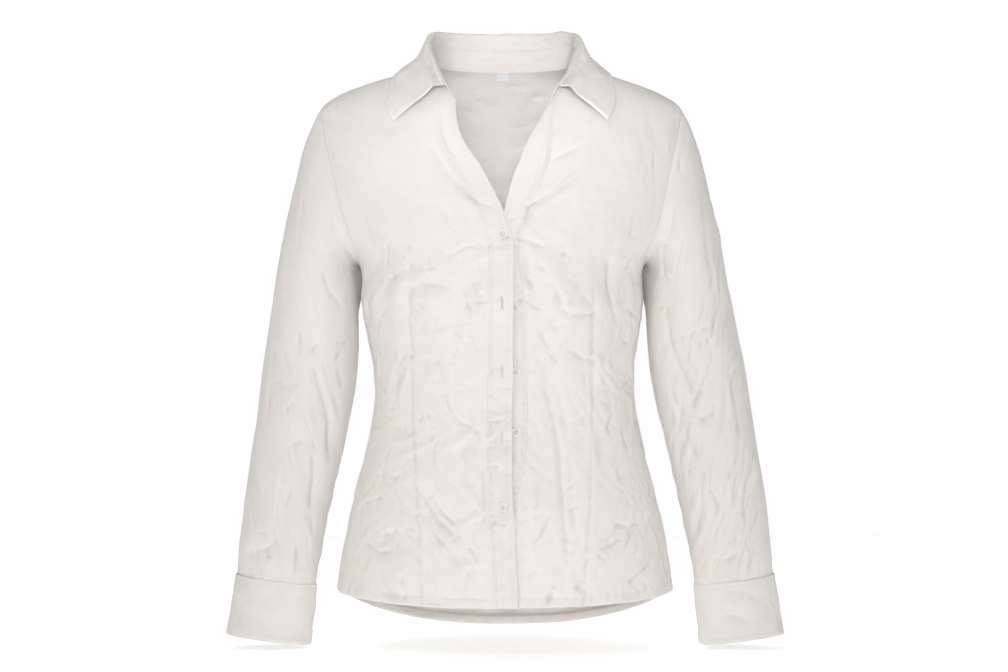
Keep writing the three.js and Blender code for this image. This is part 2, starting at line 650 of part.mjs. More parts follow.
function neckLabel() {
  const { pairs } = panels.back;
  const middle = (pairs[0].length - 1) / 2;
  const [lower, upper] = pairs.slice(-2);
  return LABEL.rows.map((share) =>
    [-LABEL.reach, 0, LABEL.reach].map((reach) => {
      const beside = middle + Math.sign(reach);
      const at = (layer) => {
        const [a, b] = [middle, beside].map((c) => lower[c][layer].clone().lerp(upper[c][layer], share));
        return a.lerp(b, Math.abs(reach));
      };
      const inner = at(1);
      const inward = inner.clone().sub(at(0)).normalize();
      return [moved(inner, inward, LABEL.gap), moved(inner, inward, LABEL.gap + LABEL.thickness)];
    }),
  );
}

// ---- materials and the whole shirt ----
const LINEN = new THREE.MeshStandardMaterial({ color: 0xe6e2dd, roughness: 0.92, metalness: 0 });
const BUTTON_SHELL = new THREE.MeshStandardMaterial({ color: 0xe9e4dc, roughness: 0.35, metalness: 0 });
const LABEL_TAPE = new THREE.MeshStandardMaterial({ color: 0xf7f7f7, roughness: 0.7, metalness: 0 });

function piece(name, geometry, material = LINEN) {
  const places = geometry.getAttribute("position");
  for (let k = 0; k < places.count; k++) places.setX(k, places.getX(k) + hang(places.getZ(k)).x);
  const mesh = new THREE.Mesh(geometry, material);
  mesh.name = name;
  return mesh;
}

const shirt = new THREE.Group();
shirt.add(
  piece("back", wall(panels.back.pairs)),
  piece("front_right", wall(panels.right.pairs)),
  piece("front_left", wall(panels.left.pairs)),
  piece("band_right", wall(frontBand("right"))),
  piece("band_left", wall(frontBand("left"))),
  piece("sleeve_right", wall(sleeve(-1), true)),
  piece("sleeve_left", wall(sleeve(1), true)),
  piece("cuff_right", wall(cuff(-1))),
  piece("cuff_left", wall(cuff(1))),
  piece("collar_stand", wall(collarStand())),
  piece("collar_leaf", wall(collarLeaf())),
  piece("neck_label", wall(neckLabel()), LABEL_TAPE),
  ...BUTTONS.map(frontButton),
  cuffButton("cuff_button_right", -1),
  cuffButton("cuff_button_left", 1),
);

export default shirt;
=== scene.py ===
"""Dresses the crumpled button-up shirt: cloth, seams, stitches and buttons over the frame of its solids.

Shapes are worked out in millimetres and become metres when a mesh is made. The front faces -Y and the
wearer's right is at -X. A "turn" goes round the body of the shirt in degrees: 0 is the centre front, 90 the
left side line, 180 the centre back, and minus is the wearer's right.
"""
import math

import bpy
import numpy as np
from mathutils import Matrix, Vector


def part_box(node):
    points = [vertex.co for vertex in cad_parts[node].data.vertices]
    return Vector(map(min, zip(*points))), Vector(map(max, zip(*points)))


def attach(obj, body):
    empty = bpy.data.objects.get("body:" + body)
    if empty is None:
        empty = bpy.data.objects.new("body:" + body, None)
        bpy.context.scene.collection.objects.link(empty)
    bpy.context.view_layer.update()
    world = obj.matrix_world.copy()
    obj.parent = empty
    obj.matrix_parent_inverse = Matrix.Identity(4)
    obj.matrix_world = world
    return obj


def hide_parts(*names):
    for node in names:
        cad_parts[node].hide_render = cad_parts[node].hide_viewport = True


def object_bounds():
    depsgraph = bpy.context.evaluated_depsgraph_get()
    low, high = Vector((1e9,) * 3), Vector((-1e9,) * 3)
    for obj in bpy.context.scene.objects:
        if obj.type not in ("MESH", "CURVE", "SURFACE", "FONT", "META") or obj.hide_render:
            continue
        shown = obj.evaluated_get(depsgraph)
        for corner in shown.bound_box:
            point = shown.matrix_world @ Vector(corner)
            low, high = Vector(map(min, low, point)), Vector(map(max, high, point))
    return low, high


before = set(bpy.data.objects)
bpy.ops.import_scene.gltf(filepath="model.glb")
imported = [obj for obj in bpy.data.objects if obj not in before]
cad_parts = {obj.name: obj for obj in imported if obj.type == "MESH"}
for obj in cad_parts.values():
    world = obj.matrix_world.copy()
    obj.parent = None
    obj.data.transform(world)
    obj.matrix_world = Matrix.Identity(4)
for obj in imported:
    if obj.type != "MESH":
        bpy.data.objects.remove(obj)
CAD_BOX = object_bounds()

bl_info = {
    "name": "Crumpled button-up shirt",
    "version": (1, 0, 0),
    "blender": (4, 5, 0),
    "location": "3D View > Sidebar > Shirt",
    "description": "Builds the cloth, seams, stitches and buttons of a crumpled shirt over its solids",
    "category": "Object",
}

MM = 0.001
BODY = "root"

# ---- sizes shared with the solids: lengths in millimetres, turns in degrees ----
ROUND = 0.87
SHOULDER_Z = -40
UNDERARM_Z = -216
NECK_TOP_Z = 11
BACK_NECK_Z = 7
SIDE_HEM_Z = -566
FRONT_HEM_DROP = 10.5
BACK_HEM_DROP = 53.5
HEM_SWEEP = 1.35
FRONT_ARMHOLE_TURN = 26
BACK_ARMHOLE_TURN = 28
UNDERARM_ROW_Z = -250
BAND_WIDTH = 26
CUFF_OVERLAP = 24
CUFF_START = 300
CUFF_RISE = 2.5
STAND_SHARE = 0.56
ROLL_RADIUS = 2.9
SLEEVE_END = 14
CAP_END = 6

# ---- how finely the cloth is woven into faces ----
SIDE_ROWS = 184
ARMHOLE_ROWS = 106
BAND_COLUMNS = 14
NECK_COLUMNS = 24
SHOULDER_COLUMNS = 84
BACK_NECK_COLUMNS = 30
BACK_SHOULDER_COLUMNS = 44
SLEEVE_RINGS = 180
CUFF_COLUMNS = 140
CUFF_ROWS = 30
FALL_ROWS = 30
ROLL_ROWS = 10
INSIDE_ROWS = 9

# ---- seams and sewing, in millimetres ----
# from a hem's edge to its stitches, how thick the turned hem is, and how far the zigzag lies behind its face
HEM_DEPTH = 9
HEM_THICKNESS = 1.5
HEM_INSIDE = 1.6
OVERCAST_WIDTH = 3.2
OVERCAST_PITCH = 2.4
OVERCAST_MARGIN = 6
OVERCAST_RADIUS = 0.3
# the band lies this far off its front, a little thinner than that, with stitches and a groove this far from
# the front's edge
BAND_LAYER = 0.6
BAND_GAP = 0.04
BAND_STITCHES = (5, 21.5, 24.6)
BAND_FOLD = 22.5
BUTTONHOLE_LENGTH = 13
BUTTONHOLE_WIDTH = 2.4
BUTTONHOLE_TEETH = 34
BUTTONHOLE_RADIUS = 0.2
# x and z of each buttonhole's middle
BUTTONHOLES = [(-1.6, -183), (-2.2, -255), (-2.2, -327), (-2.2, -399), (-2.2, -471)]
CUFF_STITCH = 5
CUFF_DEPTH = 66
COLLAR_STITCH = 5.5
STAND_STITCHES = (1.6, 13.6)
# how far a stitch stands off the cloth, and its length as a share of the pitch
STITCH_LIFT = 0.12
STITCH_SHARE = 0.78
PATH_STEP = 3
PUCKER_REACH = 4.5
SEAM_CALM = 14
FAR_FROM_SEAM = 99

# ---- creases and crumples ----
# A crease's profile is in shares of its width: how wide and how lopsided it is, how round its crest is, and
# the height, place and spread of the shoulder beside it.
CREASE_SPREAD = 1.25
CREASE_LEAN = 0.45
CREASE_ROUND = 0.3
CREASE_SHOULDER_RISE = 0.16
CREASE_SHOULDER_PLACE = 2.6
CREASE_SHOULDER_SPREAD = 2.2
CREASE_REACH = 14
CREASE_CRISPNESS = 0.82
CREASE_UNEVEN = 0.35
CREASE_TAPER = 0.55
CRUMPLE_REACH = 9
CRUMPLE_TAPER = 1.5
# sets of small creases: seed step, how many, lengths, widths, heights, the way they lean and its spread
CRUMPLES = {
    "body": [
        (0, 220, (14, 60), (1.5, 2.6), (0.3, 1.2), 6, 38),
        (50, 260, (8, 26), (1.3, 2.0), (0.08, 0.25), 0, 55),
    ],
    "sleeve": [
        (0, 150, (14, 52), (1.6, 2.8), (0.35, 1.3), 20, 62),
        (50, 240, (8, 26), (1.3, 2.0), (0.08, 0.25), 0, 70),
    ],
    "cuff": [(0, 90, (12, 44), (1.8, 3.4), (0.2, 0.7), 12, 40)],
    "stand": [(0, 70, (8, 34), (1.8, 3.0), (0.25, 0.8), 70, 30)],
    "leaf": [(0, 120, (10, 42), (1.8, 3.2), (0.2, 0.7), 60, 40)],
}
# the facets of crushed cloth, large to small: wavelength and height
FACETS = ((64, 3.4), (38, -2.3), (23, 1.3), (14, -0.6))
FACET_BEND = 5
FACET_BEND_WAVE = 90
MEANDER_WAVES = 7
MEANDER_SCALE = 0.38
# how much of the crushing each side of the body shows, and how far its upper part is calmed
CRUSH = {"front": 0.6, "back": 0.9}
CHEST_CALM = {"front": 0.62, "back": 0.3}
# a fold is sharp where the cloth's curve passes this, in 1/mm
SHARP_FOLD = 0.18


def blend(a, b, share):
    return a + (b - a) * share


def smooth(value, low, high):
    t = np.clip((value - low) / (high - low), 0, 1)
    return t * t * (3 - 2 * t)


def unit(vectors):
    return vectors / np.maximum(np.linalg.norm(vectors, axis=-1, keepdims=True), 1e-9)


def run_along(points, axis=0):
    """How far along its column (axis 0) or its row (axis 1) each point lies."""
    steps = np.diff(points, axis=axis, prepend=np.take(points, [0], axis=axis))
    return np.cumsum(np.linalg.norm(steps, axis=-1), axis=axis)


class Curve:
    """A smooth curve through the rows of a table, whose first column is the key."""

    def __init__(self, columns, rows):
        rows = np.array(rows, float)
        self.keys = rows[:, 0]
        self.values = {name: rows[:, k + 1] for k, name in enumerate(columns.split()[1:])}

    def __call__(self, name, key):
        keys, values = self.keys, self.values[name]
        index = np.clip(np.searchsorted(keys, key, side="right") - 1, 0, len(keys) - 2)
        low = np.maximum(np.arange(len(keys)) - 1, 0)
        high = np.minimum(np.arange(len(keys)) + 1, len(keys) - 1)
        slopes = (values[high] - values[low]) / (keys[high] - keys[low])
        span = keys[index + 1] - keys[index]
        t = np.clip((key - keys[index]) / span, 0, 1)
        a, b = values[index], values[index + 1]
        slope_a, slope_b = slopes[index] * span, slopes[index + 1] * span
        squared = 3 * (b - a) - 2 * slope_a - slope_b
        cubed = 2 * (a - b) + slope_a + slope_b
        return a + t * (slope_a + t * (squared + t * cubed))


# width is the half width of the body of the shirt, front and back its depths from the side line, and middle
# that line's y
SECTION = Curve("z width front back middle", [
    (-640, 188, 118, 115, 0), (-576, 185.5, 117, 114, 0), (-524, 178, 114, 109, 0), (-484, 170, 110, 102, 0),
    (-449, 161.5, 106, 95, 0), (-416, 152.5, 103, 89, 0), (-385, 146, 101, 84, 0), (-350, 142, 103, 82, 0),
    (-315, 144, 108, 85, 0), (-280, 150.5, 115, 91, 0), (-250, 155, 120, 97, 0), (-216, 155, 122, 102, 0),
    (-185, 172, 118, 105, 0), (-157, 187, 111, 106, 1), (-119, 198, 98, 104, 2), (-80, 203, 83, 98, 4),
    (-60, 201.5, 72, 92, 5), (-40, 198, 58, 84, 5), (-28, 183, 50, 79, 5), (-17.5, 161, 43, 74, 5),
    (-3.5, 118, 36, 67, 5), (4, 93, 31, 63, 5), (11, 73, 25, 57, 5),
])
# how far each height hangs to the side
HANG = Curve("z x", [
    (-620, 1.2), (-420, 1.2), (-330, 0), (-240, -2.2), (-100, -3), (-30, -3), (20, 0), (60, 0),
])
# the front edges, as they hang
EDGE = {
    "right": Curve("z x", [
        (-577, -14.9), (-519, -12.7), (-453, -9), (-379, -8.4), (-323, -9.4), (-252, -9.8), (-197, -10),
        (-182, -7.3), (-168, -2), (-159, 0.4), (-140, 9), (-119, 19.5), (-103, 28.4), (-90, 37), (-73, 44.5),
        (-50, 48.3), (-33, 48.5),
    ]),
    "left": Curve("z x", [
        (-577, -13), (-519, -13), (-470, -13), (-435, -7), (-393, -1), (-330, -2), (-262, -4), (-205, -11),
        (-184, -9), (-157, 0), (-130, 6.9), (-106, 15.7), (-88, 22.8), (-73, 31.8), (-56, 42.6), (-41, 50),
    ]),
}
NECK = {
    "right": [(48.5, -33), (56, -20), (64.5, -6), (70, 4)],
    "left": [(50, -41), (61.5, -29), (67, -11), (71, 2)],
}
LIFT = Curve("z lift", [
    (-577, 3), (-500, 3), (-440, 4.2), (-410, 5.7), (-393, 5.8), (-330, 5.8), (-262, 5.8), (-240, 5.6),
    (-205, 4), (-160, 3), (-120, 1), (-80, 0), (0, 0),
])
# sections of a sleeve run from an outer point to an inner one; deep is the half depth and y its middle
SLEEVE = Curve("t ox oz ix iz deep y", [
    (0, 198, -40, 155, -216, 53, 3), (1, 204.5, -52, 156.8, -212.4, 55, 3),
    (2, 211, -67, 158.6, -211.2, 57, 2), (3, 218.5, -90, 160.4, -212, 59, 2),
    (4, 227, -124, 161.6, -215, 60.5, 1), (5, 236, -166, 161.8, -221, 61, 1),
    (6, 244, -207, 160, -234, 61, 0), (7, 251.5, -247, 158, -259, 60, 0),
    (8, 259.5, -294, 158.8, -303, 57, -1), (9, 266.5, -340, 164.5, -351, 53, -3),
    (10, 273, -385, 173.5, -396, 49, -6), (11, 279.5, -430, 184, -441, 45, -9),
    (12, 285.5, -475, 194, -487, 41, -13), (13, 290, -518, 202, -530, 37, -17),
    (14, 292.5, -549, 206.5, -561, 32, -19),
])
CUFF = Curve("down ox oz ix iz deep y", [
    (0, 294.6, -549.2, 205.4, -560.8, 32.4, -19), (1, 305, -613.4, 211.4, -625.4, 34, -21),
])
# the line where the collar rolls over, and where the leaf's outer edge rests, by the share of the way from
# the centre back to the front
ROLL = Curve("share x y z", [
    (0, 0, 71, 51), (0.14, 30, 68, 51), (0.28, 56, 57, 51), (0.42, 73, 37, 49), (0.56, 80, 9, 41),
    (0.67, 79.5, -10, 27), (0.78, 75, -27, 12), (0.89, 68.5, -43, -3), (1, 60, -58, -18),
])
LEAF_EDGE = Curve("share turn z off swell", [
    (0, 180, 1, 5.5, 5), (0.14, 166, 0.5, 5.5, 5), (0.28, 150, -1, 5, 4), (0.42, 122, -3.5, 3.6, 0),
    (0.56, 91, -2.5, 3, -4), (0.67, 68, -6, 3, -3), (0.78, 49, -15, 3, 1), (0.89, 38.5, -30, 3.2, 5),
    (1, 31.6, -58.5, 3.2, 12),
])
BUTTON_PLACES = {
    "button_1": (-1.6, -183, "right"), "button_2": (10.3, -259, "left"), "button_3": (12.2, -328, "left"),
    "button_4": (12.6, -392, "left"), "button_5": (-1, -471, "right"),
}

# ---- creases, listed one by one ----
# Each has a height (minus is a trough), a width across, and a path as it is seen square to the face it is on.
FRONT_CREASES = [
    # the wearer's right front
    (-1.4, 2.4, [(-80, -86), (-57, -121), (-41, -137), (-25, -151), (-4, -158)]),
    (-0.7, 2.2, [(-72, -56), (-62, -86), (-44, -112)]),
    (-0.5, 2.2, [(-125, -188), (-126, -223)]),
    (-0.5, 2, [(-100, -192), (-99, -225)]),
    (0.9, 2.2, [(-33, -244), (-16, -244.5)]),
    (-0.8, 1.8, [(-33, -255), (-17, -254)]),
    (-0.7, 2, [(-42, -244), (-36, -269)]),
    (-0.5, 2, [(-128, -369), (-111, -367)]),
    (-0.6, 2, [(-88, -369), (-77, -376)]),
    (-0.9, 2.6, [(-64, -346), (-57, -370), (-49, -381), (-31, -390), (-27, -395)]),
    (-1.1, 2, [(-16, -382), (3, -379)]),
    (0.8, 2, [(-17, -377), (2, -374)]),
    (-0.8, 1.8, [(-16, -428), (-3, -428)]),
    (-0.9, 2, [(-12, -485), (-4, -489), (3, -490)]),
    (-0.9, 2.2, [(-22, -431), (-21, -490)]),
    (-0.8, 2.4, [(-128, -440), (-117, -442), (-103, -433)]),
    (-1.5, 2.6, [(-85, -465), (-73, -485), (-53, -502)]),
    (1.2, 2.6, [(-80, -463), (-66, -482), (-50, -496)]),
    (-1.1, 2.2, [(-72, -472), (-48, -494)]),
    (-0.9, 2.2, [(-78, -494), (-67, -508), (-68, -521)]),
    (-1.3, 2.4, [(-133, -503), (-121, -501), (-114, -496)]),
    (-0.7, 2, [(-105, -494), (-94, -496)]),
    (-0.9, 2.4, [(-149, -512), (-133, -521), (-117, -518)]),
    (-0.7, 2, [(-55, -508), (-46, -500)]),
    (-0.8, 2.2, [(-38, -512), (-25, -531)]),
    (0.7, 5, [(-60, -300), (-52, -430)]),
    (-0.6, 4, [(-76, -410), (-70, -455)]),
    (0.3, 6, [(-112, -230), (-116, -330)]),
    (-0.7, 3, [(-146, -330), (-128, -352)]),
    (-0.6, 3, [(-150, -470), (-128, -462)]),
    (0.7, 4, [(-40, -525), (-48, -566)]),
    (-0.9, 4, [(-108, -540), (-104, -570)]),
    (-0.3, 2.2, [(-150, -158), (-142, -196)]),
    (-0.7, 2, [(-60, -208), (-40, -196), (-22, -196)]),
    (-0.5, 2, [(-58, -282), (-36, -300)]),
    # the wearer's left front
    (-1.2, 2.4, [(54, -74), (47, -106), (37, -134)]),
    (-1, 2.2, [(49, -103), (64, -95), (82, -87)]),
    (-1.3, 2.4, [(76, -112), (48, -140), (26, -152), (21, -171)]),
    (0.5, 2.6, [(80, -123), (52, -147), (31, -160)]),
    (-0.8, 2, [(14, -187), (28, -190), (43, -198)]),
    (-0.7, 2, [(60, -204), (69, -201)]),
    (-0.9, 2.2, [(34, -208), (47, -227)]),
    (-0.8, 2, [(22, -225), (34, -246)]),
    (-0.9, 2.6, [(51, -232), (62, -264), (72, -269), (93, -268), (105, -260)]),
    (0.5, 2.8, [(57, -232), (68, -258), (90, -261)]),
    (-1.1, 2, [(14, -252), (24, -255), (39, -264)]),
    (-1, 2.8, [(112, -206), (114, -242), (123, -281)]),
    (-0.9, 2.2, [(134, -261), (143, -269)]),
    (-0.9, 2.2, [(37, -284), (47, -307), (58, -319)]),
    (-1.4, 2.4, [(67, -303), (78, -310), (86, -315), (99, -318)]),
    (-1.1, 3, [(42, -321), (43, -348), (51, -375), (58, -413), (60, -444), (63, -469), (67, -533)]),
    (0.8, 3.4, [(49, -330), (58, -380), (65, -420), (69, -500)]),
    (-1, 2.4, [(53, -475), (41, -496), (34, -509)]),
    (-0.8, 2, [(68, -475), (80, -471)]),
    (-0.8, 2.4, [(116, -373), (110, -396)]),
    (-0.8, 2.2, [(128, -294), (136, -299)]),
    (-0.8, 2.4, [(128, -392), (134, -415)]),
    (-1.1, 2.4, [(118, -489), (134, -494), (145, -490)]),
    (-1, 2.4, [(102, -517), (118, -511), (130, -505)]),
    (-0.8, 2, [(98, -519), (108, -529)]),
    (-1.1, 3, [(132, -554), (145, -544), (159, -533)]),
    (-1.5, 4, [(53, -552), (45, -575)]),
    (-1.2, 4, [(84, -548), (76, -561)]),
    (0.8, 5, [(90, -350), (96, -440)]),
    (-0.7, 3, [(146, -330), (126, -346)]),
    (0.7, 4, [(30, -430), (28, -520)]),
    (-0.4, 2.2, [(162, -88), (161, -126)]),
    (-0.4, 2.2, [(140, -158), (134, -190)]),
]
BACK_CREASES = [
    (1.1, 2.4, [(0, -6), (30, -10)]),
    (1, 2.4, [(30, -20), (53, -19)]),
    (1.7, 3.2, [(8, -53), (28, -51), (50, -38)]),
    (1.6, 3.2, [(6, -80), (20, -73), (37, -61)]),
    (1.7, 3.2, [(-37, -52), (-27, -80), (-11, -121)]),
    (1.2, 3, [(-52, -28), (-22, -46)]),
    (-1.1, 3, [(-20, -40), (8, -60)]),
    (1.5, 3.2, [(8, -88), (2, -112), (4, -138)]),
    (1.3, 2.8, [(-30, -22), (-8, -34)]),
    (-1.3, 2.8, [(-44, -76), (-36, -104), (-20, -136)]),
    (-1.2, 3, [(24, -92), (16, -120), (8, -146)]),
    (-1.3, 3, [(-96, -110), (-66, -160), (-40, -215)]),
    (-1.3, 3, [(104, -140), (76, -196), (52, -250)]),
    (0.9, 4, [(-80, -120), (-54, -190)]),
    (0.9, 4, [(90, -150), (60, -230)]),
    (-1.1, 2.6, [(-150, -190), (-112, -214), (-92, -250)]),
    (-1.1, 2.6, [(150, -200), (118, -222), (100, -268)]),
    (-1.2, 2.6, [(-70, -330), (-46, -352), (-20, -372)]),
    (-1.2, 2.6, [(84, -350), (54, -374), (24, -398)]),
    (-0.9, 2.4, [(-118, -336), (-92, -344), (-74, -362)]),
    (-0.9, 2.4, [(126, -372), (104, -366), (88, -380)]),
    (-0.8, 2.4, [(-12, -300), (16, -312), (38, -306)]),
    (-1.1, 3, [(-110, -470), (-98, -520), (-84, -585)]),
    (-1.1, 3, [(34, -455), (44, -520), (48, -590)]),
    (-1.1, 3, [(122, -440), (110, -500), (98, -560)]),
    (0.9, 5, [(-40, -440), (-30, -600)]),
    (0.8, 5, [(8, -400), (4, -520)]),
    (-1.1, 2.4, [(-70, -498), (-50, -512), (-34, -508)]),
    (-1, 2.4, [(66, -482), (82, -498), (102, -494)]),
    (-0.9, 2.4, [(-140, -520), (-118, -532), (-104, -526)]),
    (-0.9, 2.4, [(-8, -548), (12, -560), (30, -556)]),
    (-0.9, 2.6, [(-60, -256), (-44, -280)]),
    (-0.8, 2.6, [(34, -170), (10, -200)]),
    (-0.8, 2.6, [(-14, -120), (14, -140)]),
    (-0.9, 3, [(70, -70), (112, -92)]),
    (-0.9, 3, [(-74, -62), (-120, -88)]),
]
SLEEVE_FRONT_CREASES = [
    # the right sleeve
    (-0.9, 2.4, [(-172, -158), (-166, -186)]),
    (-1.1, 2.4, [(-216, -306), (-205, -303), (-195, -296)]),
    (-0.9, 2.8, [(-221, -283), (-221, -311)]),
    (-1, 2.2, [(-181, -296), (-168, -296)]),
    (-1, 2.4, [(-173, -301), (-184, -318)]),
    (-0.9, 2.4, [(-180, -325), (-174, -347)]),
    (-1.8, 3.2, [(-206, -325), (-196, -356), (-187, -387), (-187, -425)]),
    (1.3, 3.4, [(-200, -322), (-189, -356), (-180, -390)]),
    (-1, 2.4, [(-234, -408), (-214, -403), (-195, -411)]),
    (-1.2, 3, [(-206, -419), (-205, -451), (-208, -478)]),
    (-0.8, 2.2, [(-274, -497), (-263, -502), (-252, -504)]),
    (-1.3, 2.4, [(-280, -525), (-261, -521), (-243, -512)]),
    (-1, 2.2, [(-261, -521), (-252, -532)]),
    (0.8, 5, [(-236, -120), (-240, -260)]),
    (-0.7, 3, [(-216, -120), (-222, -200)]),
    (-0.7, 3, [(-250, -300), (-258, -390)]),
    (-0.9, 2.6, [(-252, -336), (-234, -346), (-220, -340)]),
    (-0.8, 2.6, [(-226, -360), (-238, -372)]),
    (0.8, 4, [(-240, -420), (-252, -500)]),
    (-0.7, 2.4, [(-228, -455), (-238, -480)]),
    (-0.8, 2.4, [(-222, -512), (-226, -545)]),
    (-0.8, 2.4, [(-196, -220), (-186, -250)]),
    (-0.8, 2.4, [(-192, -238), (-172, -262)]),
    # the left sleeve
    (-0.9, 2.2, [(180, -65), (182, -92)]),
    (-0.8, 2.2, [(190, -86), (190, -114)]),
    (-0.8, 2.4, [(171, -158), (169, -184)]),
    (-1.1, 2.6, [(172, -190), (172, -224), (179, -233)]),
    (-1.3, 2.6, [(162, -256), (173, -260), (179, -292)]),
    (-1.3, 2.4, [(189, -292), (207, -286), (224, -280)]),
    (-1.1, 2.4, [(207, -302), (222, -292)]),
    (-1.4, 2.6, [(177, -288), (183, -305), (192, -328), (202, -347), (217, -351)]),
    (1, 2.8, [(183, -286), (190, -306), (199, -326), (212, -340)]),
    (-1.1, 2.6, [(181, -349), (193, -376)]),
    (-1.6, 2.2, [(200, -377), (214, -379), (228, -373)]),
    (1.1, 2.4, [(200, -371), (214, -373), (226, -368)]),
    (-1.1, 2.4, [(196, -400), (209, -423)]),
    (-1, 2.4, [(194, -436), (205, -438), (220, -440)]),
    (-1.1, 2.4, [(222, -455), (232, -478)]),
    (-1, 2.6, [(264, -442), (259, -466), (260, -493)]),
    (-1.2, 2.4, [(238, -517), (249, -508), (262, -512), (266, -523)]),
    (-1.2, 2.4, [(222, -533), (238, -533), (258, -523)]),
    (0.8, 5, [(232, -130), (240, -260)]),
    (-0.7, 3, [(214, -130), (222, -220)]),
    (-0.7, 3, [(244, -320), (256, -400)]),
    (0.7, 4, [(236, -420), (248, -490)]),
]
SLEEVE_BACK_CREASES = [
    (-1.4, 3, [(-240, -300), (-222, -322), (-200, -340)]),
    (-1.3, 2.8, [(-212, -380), (-236, -396), (-262, -420)]),
    (-1.2, 2.6, [(-268, -470), (-250, -482), (-230, -500)]),
    (-1, 2.6, [(-196, -352), (-208, -372)]),
    (-0.9, 2.6, [(-250, -430), (-232, -442)]),
    (-0.9, 3, [(-218, -140), (-226, -230)]),
    (0.9, 4, [(-236, -170), (-244, -280)]),
    (-1, 2.6, [(-272, -522), (-256, -530), (-244, -526)]),
    (-1.4, 3, [(236, -290), (218, -312), (196, -330)]),
    (-1.3, 2.8, [(214, -372), (238, -386), (262, -404)]),
    (-1.2, 2.6, [(222, -470), (244, -488), (268, -505)]),
    (-1, 2.6, [(198, -350), (214, -362)]),
    (-0.9, 2.6, [(256, -430), (238, -446)]),
    (-0.9, 3, [(216, -130), (228, -240)]),
    (0.9, 4, [(240, -180), (248, -290)]),
    (-1, 2.6, [(232, -528), (248, -538), (262, -530)]),
]
# the same broad folds as the solids: from and to in x and z, width, and height
BODY_FOLDS = {
    "front": [
        (-160, -160, -132, -205, 12, -3), (-126, -190, -124, -240, 12, -2.5),
        (-92, -455, -44, -502, 13, -3.5), (-150, -520, -108, -500, 13, -2.5), (12, -188, 72, -202, 13, -2),
        (113, -205, 126, -295, 13, -3.5), (40, -285, 54, -380, 13, -2.5), (56, -385, 66, -515, 14, -3),
        (100, -516, 160, -490, 13, -2.5),
    ],
    "back": [
        (-96, -110, -40, -215, 16, -3), (104, -140, 52, -250, 16, -3), (-70, -330, -20, -372, 15, -3),
        (84, -350, 24, -398, 15, -3), (-110, -470, -84, -585, 15, -3), (34, -455, 48, -590, 15, 2.5),
        (122, -440, 98, -560, 15, -3),
    ],
}
SLEEVE_FOLDS = {
    "front": [
        (-208, -325, -184, -425, 12, -4), (-225, -285, -196, -300, 12, -2.5),
        (-206, -430, -208, -488, 12, -3), (-282, -532, -242, -512, 12, -3),
        (-236, -412, -200, -406, 12, -2.5), (174, -200, 180, -292, 12, -3.5),
        (186, -300, 206, -350, 12, -3), (196, -383, 236, -374, 12, -2.5), (224, -540, 266, -520, 12, -3),
        (188, -394, 212, -426, 12, -2.5),
    ],
    "back": [
        (-240, -300, -200, -340, 14, -3.5), (-212, -380, -262, -420, 13, -3),
        (-268, -470, -230, -500, 13, -3), (236, -290, 196, -330, 14, -3.5), (214, -372, 262, -404, 13, -3),
        (222, -470, 268, -505, 13, -3),
    ],
}
# the darts, as they hang: from the top of each down to the hem
DARTS = {
    "right": [(-101, -225), (-99, -310), (-98, -390), (-94, -432), (-89, -543), (-87, -575)],
    "left": [(96, -215), (95, -300), (94, -390), (91.5, -476), (86.5, -543), (85, -572)],
    "back": [(-84, -190), (-80, -350), (-78, -480), (-76, -612)],
}
BACK_DARTS = [DARTS["back"], [(-x, z) for x, z in DARTS["back"]]]


# ---- the body of the shirt ----
def skin(turn, z):
    """The point of the body's skin at a turn and a height."""
    turn, z = np.broadcast_arrays(np.asarray(turn, float), np.asarray(z, float))
    facing = np.cos(np.radians(turn))
    across = np.abs(np.sin(np.radians(turn))) ** ROUND
    depth = np.where(facing > 0, -SECTION("front", z), SECTION("back", z))
    x = np.sign(np.sin(np.radians(turn))) * SECTION("width", z) * across
    return np.stack([x, SECTION("middle", z) + depth * np.abs(facing) ** ROUND, z], -1)


def outward(turn, z):
    step = 0.6
    around = skin(turn + step, z) - skin(turn - step, z)
    up = skin(turn, z + step) - skin(turn, z - step)
    return unit(np.cross(around, up))


def turn_at(x, z):
    share = np.minimum(1, np.abs(x) / SECTION("width", z)) ** (1 / ROUND)
    return np.sign(x) * np.degrees(np.arcsin(share))


def hung(points, way=1):
    """Points moved to where they hang, or back with way=-1."""
    moved = points.copy()
    moved[..., 0] += way * HANG("x", points[..., 2])
    return moved


def run_distance(x, z, path):
    """How far each place is from a path, negative above and left of it, and the share of the way along."""
    path = np.array(path, float)
    lengths = np.linalg.norm(np.diff(path, axis=0), axis=1)
    starts = np.concatenate([[0], np.cumsum(lengths)])
    best = np.full(x.shape, 1e9)
    share = np.zeros(x.shape)
    way = np.ones(x.shape)
    for k, length in enumerate(lengths):
        (x0, z0), (x1, z1) = path[k], path[k + 1]
        t = np.clip(((x - x0) * (x1 - x0) + (z - z0) * (z1 - z0)) / length**2, 0, 1)
        off_x, off_z = x - x0 - t * (x1 - x0), z - z0 - t * (z1 - z0)
        away = np.hypot(off_x, off_z)
        nearer = away < best
        best = np.where(nearer, away, best)
        share = np.where(nearer, (starts[k] + t * length) / starts[-1], share)
        way = np.where(nearer, np.where(off_z - 0.6 * off_x > 0, -1, 1), way)
    return best * way, share


def crease_profile(q):
    """A crisp fold, steeper on one side, with a soft shoulder that leans the other way."""
    q = q / (CREASE_SPREAD + CREASE_LEAN * np.tanh(q))
    crest = np.exp(CREASE_ROUND - np.sqrt(q * q + CREASE_ROUND**2))
    shoulder = np.exp(-((q + CREASE_SHOULDER_PLACE) ** 2) / CREASE_SHOULDER_SPREAD)
    return crest - CREASE_SHOULDER_RISE * shoulder


